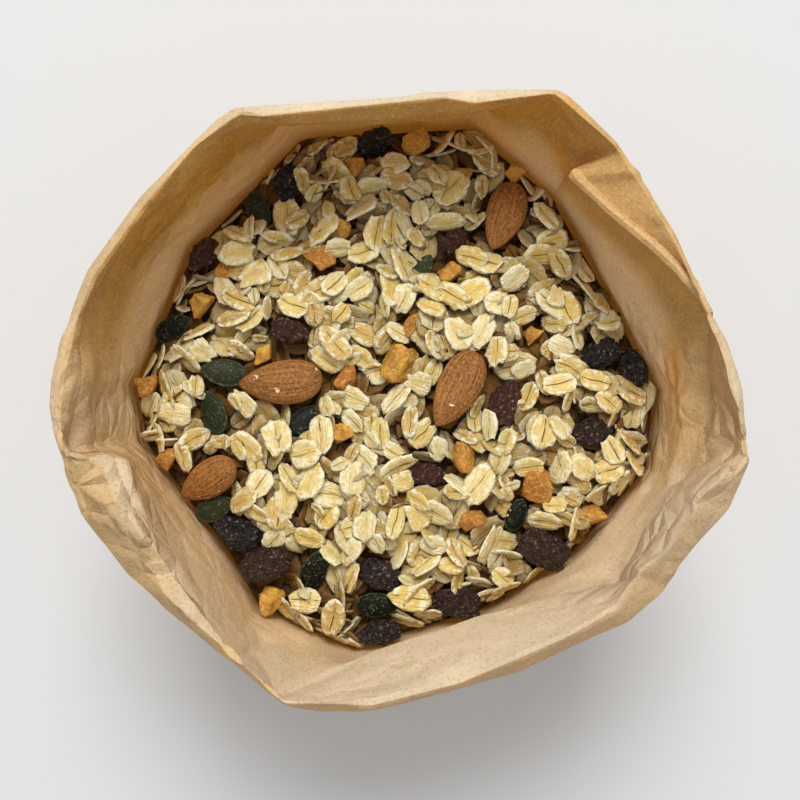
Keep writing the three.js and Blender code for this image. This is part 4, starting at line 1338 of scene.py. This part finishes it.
def specks_group():
    """Pale dust and crumbs on a dark skin: a colour with specks, and their mask."""
    group = bpy.data.node_groups.get("sugar_specks")
    if group:
        return group
    group = bpy.data.node_groups.new("sugar_specks", "ShaderNodeTree")
    add_socket = group.interface.new_socket
    add_socket("Place", in_out="INPUT", socket_type="NodeSocketVector")
    add_socket("Skin", in_out="INPUT", socket_type="NodeSocketColor")
    add_socket("Specks", in_out="INPUT", socket_type="NodeSocketColor")
    add_socket("Fineness", in_out="INPUT", socket_type="NodeSocketFloat").default_value = 900
    add_socket("Amount", in_out="INPUT", socket_type="NodeSocketFloat").default_value = 0.5
    add_socket("Colour", in_out="OUTPUT", socket_type="NodeSocketColor")
    add_socket("Mask", in_out="OUTPUT", socket_type="NodeSocketFloat")
    nodes = Nodes(group)
    given = nodes.add("NodeGroupInput").outputs
    fine = nodes.noise(given["Place"], given["Fineness"], 3, 0.7)
    patches = nodes.noise(given["Place"], 160, 2)
    spots = nodes.remap(fine, 0.56, 0.7)
    mask = nodes.times(spots, nodes.remap(patches, 0.34, 0.56))
    mask = nodes.times(mask, given["Amount"])
    nodes.add("NodeGroupOutput", {
        "Colour": nodes.mix(mask, given["Skin"], given["Specks"]), "Mask": mask,
    })
    return group


def speckled(nodes, place, skin, specks, fineness, amount):
    """A skin with specks on it: its colour and their mask."""
    inputs = {
        "Place": place, "Skin": skin, "Specks": specks, "Fineness": fineness, "Amount": amount,
    }
    group = nodes.add("ShaderNodeGroup", inputs, node_tree=specks_group())
    return group.outputs["Colour"], group.outputs["Mask"]


def almond_material(colour):
    """Brown skin with fine dark lines from end to end, freckles and a few pale chips."""
    material, nodes, shader, place = new_material("almond_skin")
    own = nodes.attribute("own_place", "Vector")
    lines = nodes.noise(nodes.stretched(own, (0.7, 7, 7)), 1.3, 4, 0.62, 0.3)
    freckles = nodes.noise(place, 1300, 3, 0.7)
    dark, light = tuple(0.35 * c for c in colour), tuple(1.45 * c for c in colour)
    base = nodes.tinted(colour, nodes.noise(place, 140, 2), 0.3, 0.7, light)
    base = nodes.tinted(base, lines, 0.43, 0.62, dark, 0.7)
    base = nodes.tinted(base, freckles, 0.5, 0.6, (0.55, 0.26, 0.08), 0.6)
    base = nodes.mix(nodes.remap(freckles, 0.34, 0.46, 0.75, 0), base, dark)
    base = nodes.tinted(base, nodes.attribute("tint"), 0.6, 1, dark, 0.35)
    base = nodes.tinted(base, nodes.noise(place, 330, 2), 0.7, 0.72, (0.85, 0.76, 0.6))
    height = nodes.maths("SUBTRACT", nodes.times(freckles, 0.5), lines)
    roughness = nodes.remap(lines, 0.35, 0.65, 0.42, 0.62)
    fill_shader(nodes, shader, base, roughness, 0.3, nodes.bump(height, 0.0006, 0.9))
    return material


def raisin_material(colour):
    """Dark wrinkled skin, bluish or reddish where worn, with sugar in the folds."""
    material, nodes, shader, place = new_material("raisin_skin")
    tint = nodes.attribute("tint")
    wrinkles = nodes.noise(place, 520, 5, 0.7, 1.2)
    worn = nodes.remap(wrinkles, 0.42, 0.66)
    skin = nodes.tinted(colour, tint, 0.25, 0.6, (0.055, 0.014, 0.008))
    bloom = nodes.tinted((0.03, 0.027, 0.03), tint, 0.3, 0.9, (0.15, 0.05, 0.028))
    skin = nodes.mix(nodes.times(worn, 0.4), skin, bloom)
    skin, specks = speckled(nodes, place, skin, (0.7, 0.55, 0.38), 950, 0.8)
    height = nodes.maths("ADD", wrinkles, nodes.times(specks, 0.4))
    roughness = nodes.remap(worn, 0, 1, 0.2, 0.44)
    fill_shader(nodes, shader, skin, roughness, 0.5, nodes.bump(height, 0.0018))
    return material


def seed_material(colour):
    """Dark green skin with a paler rim and a little dust."""
    material, nodes, shader, place = new_material("pumpkin_seed_skin")
    flat = nodes.vector("MULTIPLY", nodes.attribute("own_place", "Vector"), (1, 1, 0))
    reach = nodes.add("ShaderNodeVectorMath", {0: flat}, operation="LENGTH").outputs["Value"]
    rim = nodes.times(nodes.remap(reach, 0.9, 0.94), nodes.remap(reach, 0.985, 0.999, 1, 0.3))
    mottle = nodes.noise(place, 300, 3, 0.6)
    base = nodes.tinted(colour, nodes.attribute("tint"), 0.5, 0.8, (0.04, 0.048, 0.016))
    base = nodes.tinted(base, mottle, 0.4, 0.75, (0.014, 0.022, 0.007), 0.6)
    base = nodes.mix(nodes.times(rim, 0.6), base, (0.07, 0.085, 0.03))
    base, _ = speckled(nodes, place, base, (0.6, 0.52, 0.35), 1300, 0.35)
    normal = nodes.bump(nodes.noise(place, 1400, 2, 0.6), 0.0002, 0.8)
    fill_shader(nodes, shader, base, nodes.remap(mottle, 0.3, 0.7, 0.36, 0.55), 0.14, normal)
    return material


def fruit_material(colour):
    """Golden flesh with deeper patches and sugar crystals."""
    material, nodes, shader, place = new_material("dried_fruit_flesh")
    flesh = nodes.noise(place, 230, 3, 0.6)
    crystals = nodes.noise(place, 1000, 4, 0.7)
    base = nodes.tinted(colour, nodes.attribute("tint"), 0.3, 0.9, (0.5, 0.15, 0.015))
    base = nodes.tinted(base, flesh, 0.42, 0.62, (0.4, 0.14, 0.012), 0.8)
    base = nodes.tinted(base, crystals, 0.5, 0.66, (0.95, 0.66, 0.2), 0.6)
    base, _ = speckled(nodes, place, base, (0.92, 0.8, 0.5), 1700, 0.3)
    height = nodes.maths("ADD", nodes.times(flesh, 0.8), crystals)
    roughness = nodes.remap(crystals, 0.35, 0.65, 0.4, 0.65)
    fill_shader(nodes, shader, base, roughness, 0.4, nodes.bump(height, 0.001, 0.9))
    return material


def lay_toppings(context, prefix, make_material):
    """Makes the piece of one kind and gives it its finish."""
    settings = context.scene.muesli_toppings
    kind = TOPPINGS[prefix]
    piece = toppings_mesh(prefix, kind, settings.seed)
    material = make_material(tuple(getattr(settings, prefix)))
    finish_piece(piece, material, kind["slot"], *nodes_of(prefix))


class MUESLI_BAG_OT_almonds(bpy.types.Operator):
    """Makes the almonds in the places of their solids"""

    bl_idname = "muesli_bag.almonds"
    bl_label = "Almonds"

    def execute(self, context):
        lay_toppings(context, "almond", almond_material)
        return {"FINISHED"}


class MUESLI_BAG_OT_raisins(bpy.types.Operator):
    """Makes the raisins in the places of their solids"""

    bl_idname = "muesli_bag.raisins"
    bl_label = "Raisins"

    def execute(self, context):
        lay_toppings(context, "raisin", raisin_material)
        return {"FINISHED"}


class MUESLI_BAG_OT_pumpkin_seeds(bpy.types.Operator):
    """Makes the pumpkin seeds in the places of their solids"""

    bl_idname = "muesli_bag.pumpkin_seeds"
    bl_label = "Pumpkin Seeds"

    def execute(self, context):
        lay_toppings(context, "pumpkin_seed", seed_material)
        return {"FINISHED"}


class MUESLI_BAG_OT_dried_fruit(bpy.types.Operator):
    """Makes the pieces of dried fruit in the places of their solids"""

    bl_idname = "muesli_bag.dried_fruit"
    bl_label = "Dried Fruit"

    def execute(self, context):
        lay_toppings(context, "dried_fruit", fruit_material)
        return {"FINISHED"}


# ---- Stage -------------------------------------------------------------------------


def floor_material():
    """An even, pale grey."""
    material, nodes, shader, place = new_material("pale_floor")
    base = nodes.mix(nodes.noise(place, 3, 2), (0.715, 0.712, 0.706), (0.735, 0.731, 0.724))
    fill_shader(nodes, shader, base, 0.9, 0.2)
    return material


class MUESLI_BAG_OT_stage(bpy.types.Operator):
    """Makes the floor, the window light, the sky light and the camera above the bag"""

    bl_idname = "muesli_bag.stage"
    bl_label = "Stage"

    def execute(self, context):
        scene = context.scene
        settings = scene.muesli_stage
        half = settings.floor_size / 2
        corners = [(-half, -half, 0), (half, -half, 0), (half, half, 0), (-half, half, 0)]
        floor = new_piece("floor", corners, [(0, 1, 2, 3)], smooth=False)
        floor.data.materials.append(floor_material())

        window = bpy.data.lights.new("window_light", "AREA")
        window.energy = settings.key_power
        window.size = settings.key_size
        window.color = (1.0, 0.995, 0.985)
        light = bpy.data.objects.new("window_light", window)
        rise, back = math.sin(settings.key_elevation), math.cos(settings.key_elevation)
        light.location = Vector((0, back, rise)) * settings.key_distance
        light.rotation_euler = Euler((settings.key_elevation - math.pi / 2, 0, 0))
        scene.collection.objects.link(light)

        world = bpy.data.worlds.new("soft_sky")
        world.use_nodes = True
        sky = world.node_tree.nodes["Background"]
        sky.inputs["Color"].default_value = (0.99, 0.995, 1.0, 1)
        nodes = Nodes(world.node_tree)
        ray = nodes.add("ShaderNodeTexCoord").outputs["Object"]
        height = nodes.add("ShaderNodeSeparateXYZ", {"Vector": ray}).outputs["Z"]
        glow = nodes.remap(height, 0, 1, settings.horizon, settings.sky)
        nodes.put(sky.inputs["Strength"], glow)
        scene.world = world
        scene.view_settings.view_transform = "Standard"

        lens = bpy.data.cameras.new("camera")
        lens.lens = settings.lens
        camera = bpy.data.objects.new("camera", lens)
        camera.location = (0, settings.camera_shift, settings.camera_height)
        scene.collection.objects.link(camera)
        scene.camera = camera
        return {"FINISHED"}


class MUESLI_BAG_PT_panel(bpy.types.Panel):
    """Buttons for the bag's pieces"""

    bl_idname = "MUESLI_BAG_PT_panel"
    bl_label = "Muesli Bag"
    bl_space_type = "VIEW_3D"
    bl_region_type = "UI"
    bl_category = "Muesli Bag"

    def draw(self, context):
        for operator in PIECES:
            self.layout.operator(operator.bl_idname)


PIECES = (
    MUESLI_BAG_OT_stage, MUESLI_BAG_OT_paper, MUESLI_BAG_OT_muesli, MUESLI_BAG_OT_almonds,
    MUESLI_BAG_OT_raisins, MUESLI_BAG_OT_pumpkin_seeds, MUESLI_BAG_OT_dried_fruit,
)
SETTINGS = {
    "muesli_bag": BagSettings, "muesli": MuesliSettings, "muesli_toppings": ToppingSettings,
    "muesli_stage": StageSettings,
}
CLASSES = (*SETTINGS.values(), *PIECES, MUESLI_BAG_PT_panel)


def register():
    for each in CLASSES:
        bpy.utils.register_class(each)
    for name, group in SETTINGS.items():
        setattr(bpy.types.Scene, name, bpy.props.PointerProperty(type=group))


def unregister():
    for name in SETTINGS:
        delattr(bpy.types.Scene, name)
    for each in reversed(CLASSES):
        bpy.utils.unregister_class(each)


def main():
    register()
    for operator in PIECES:
        category, name = operator.bl_idname.split(".")
        getattr(getattr(bpy.ops, category), name)()


if __name__ == "__main__":
    main()
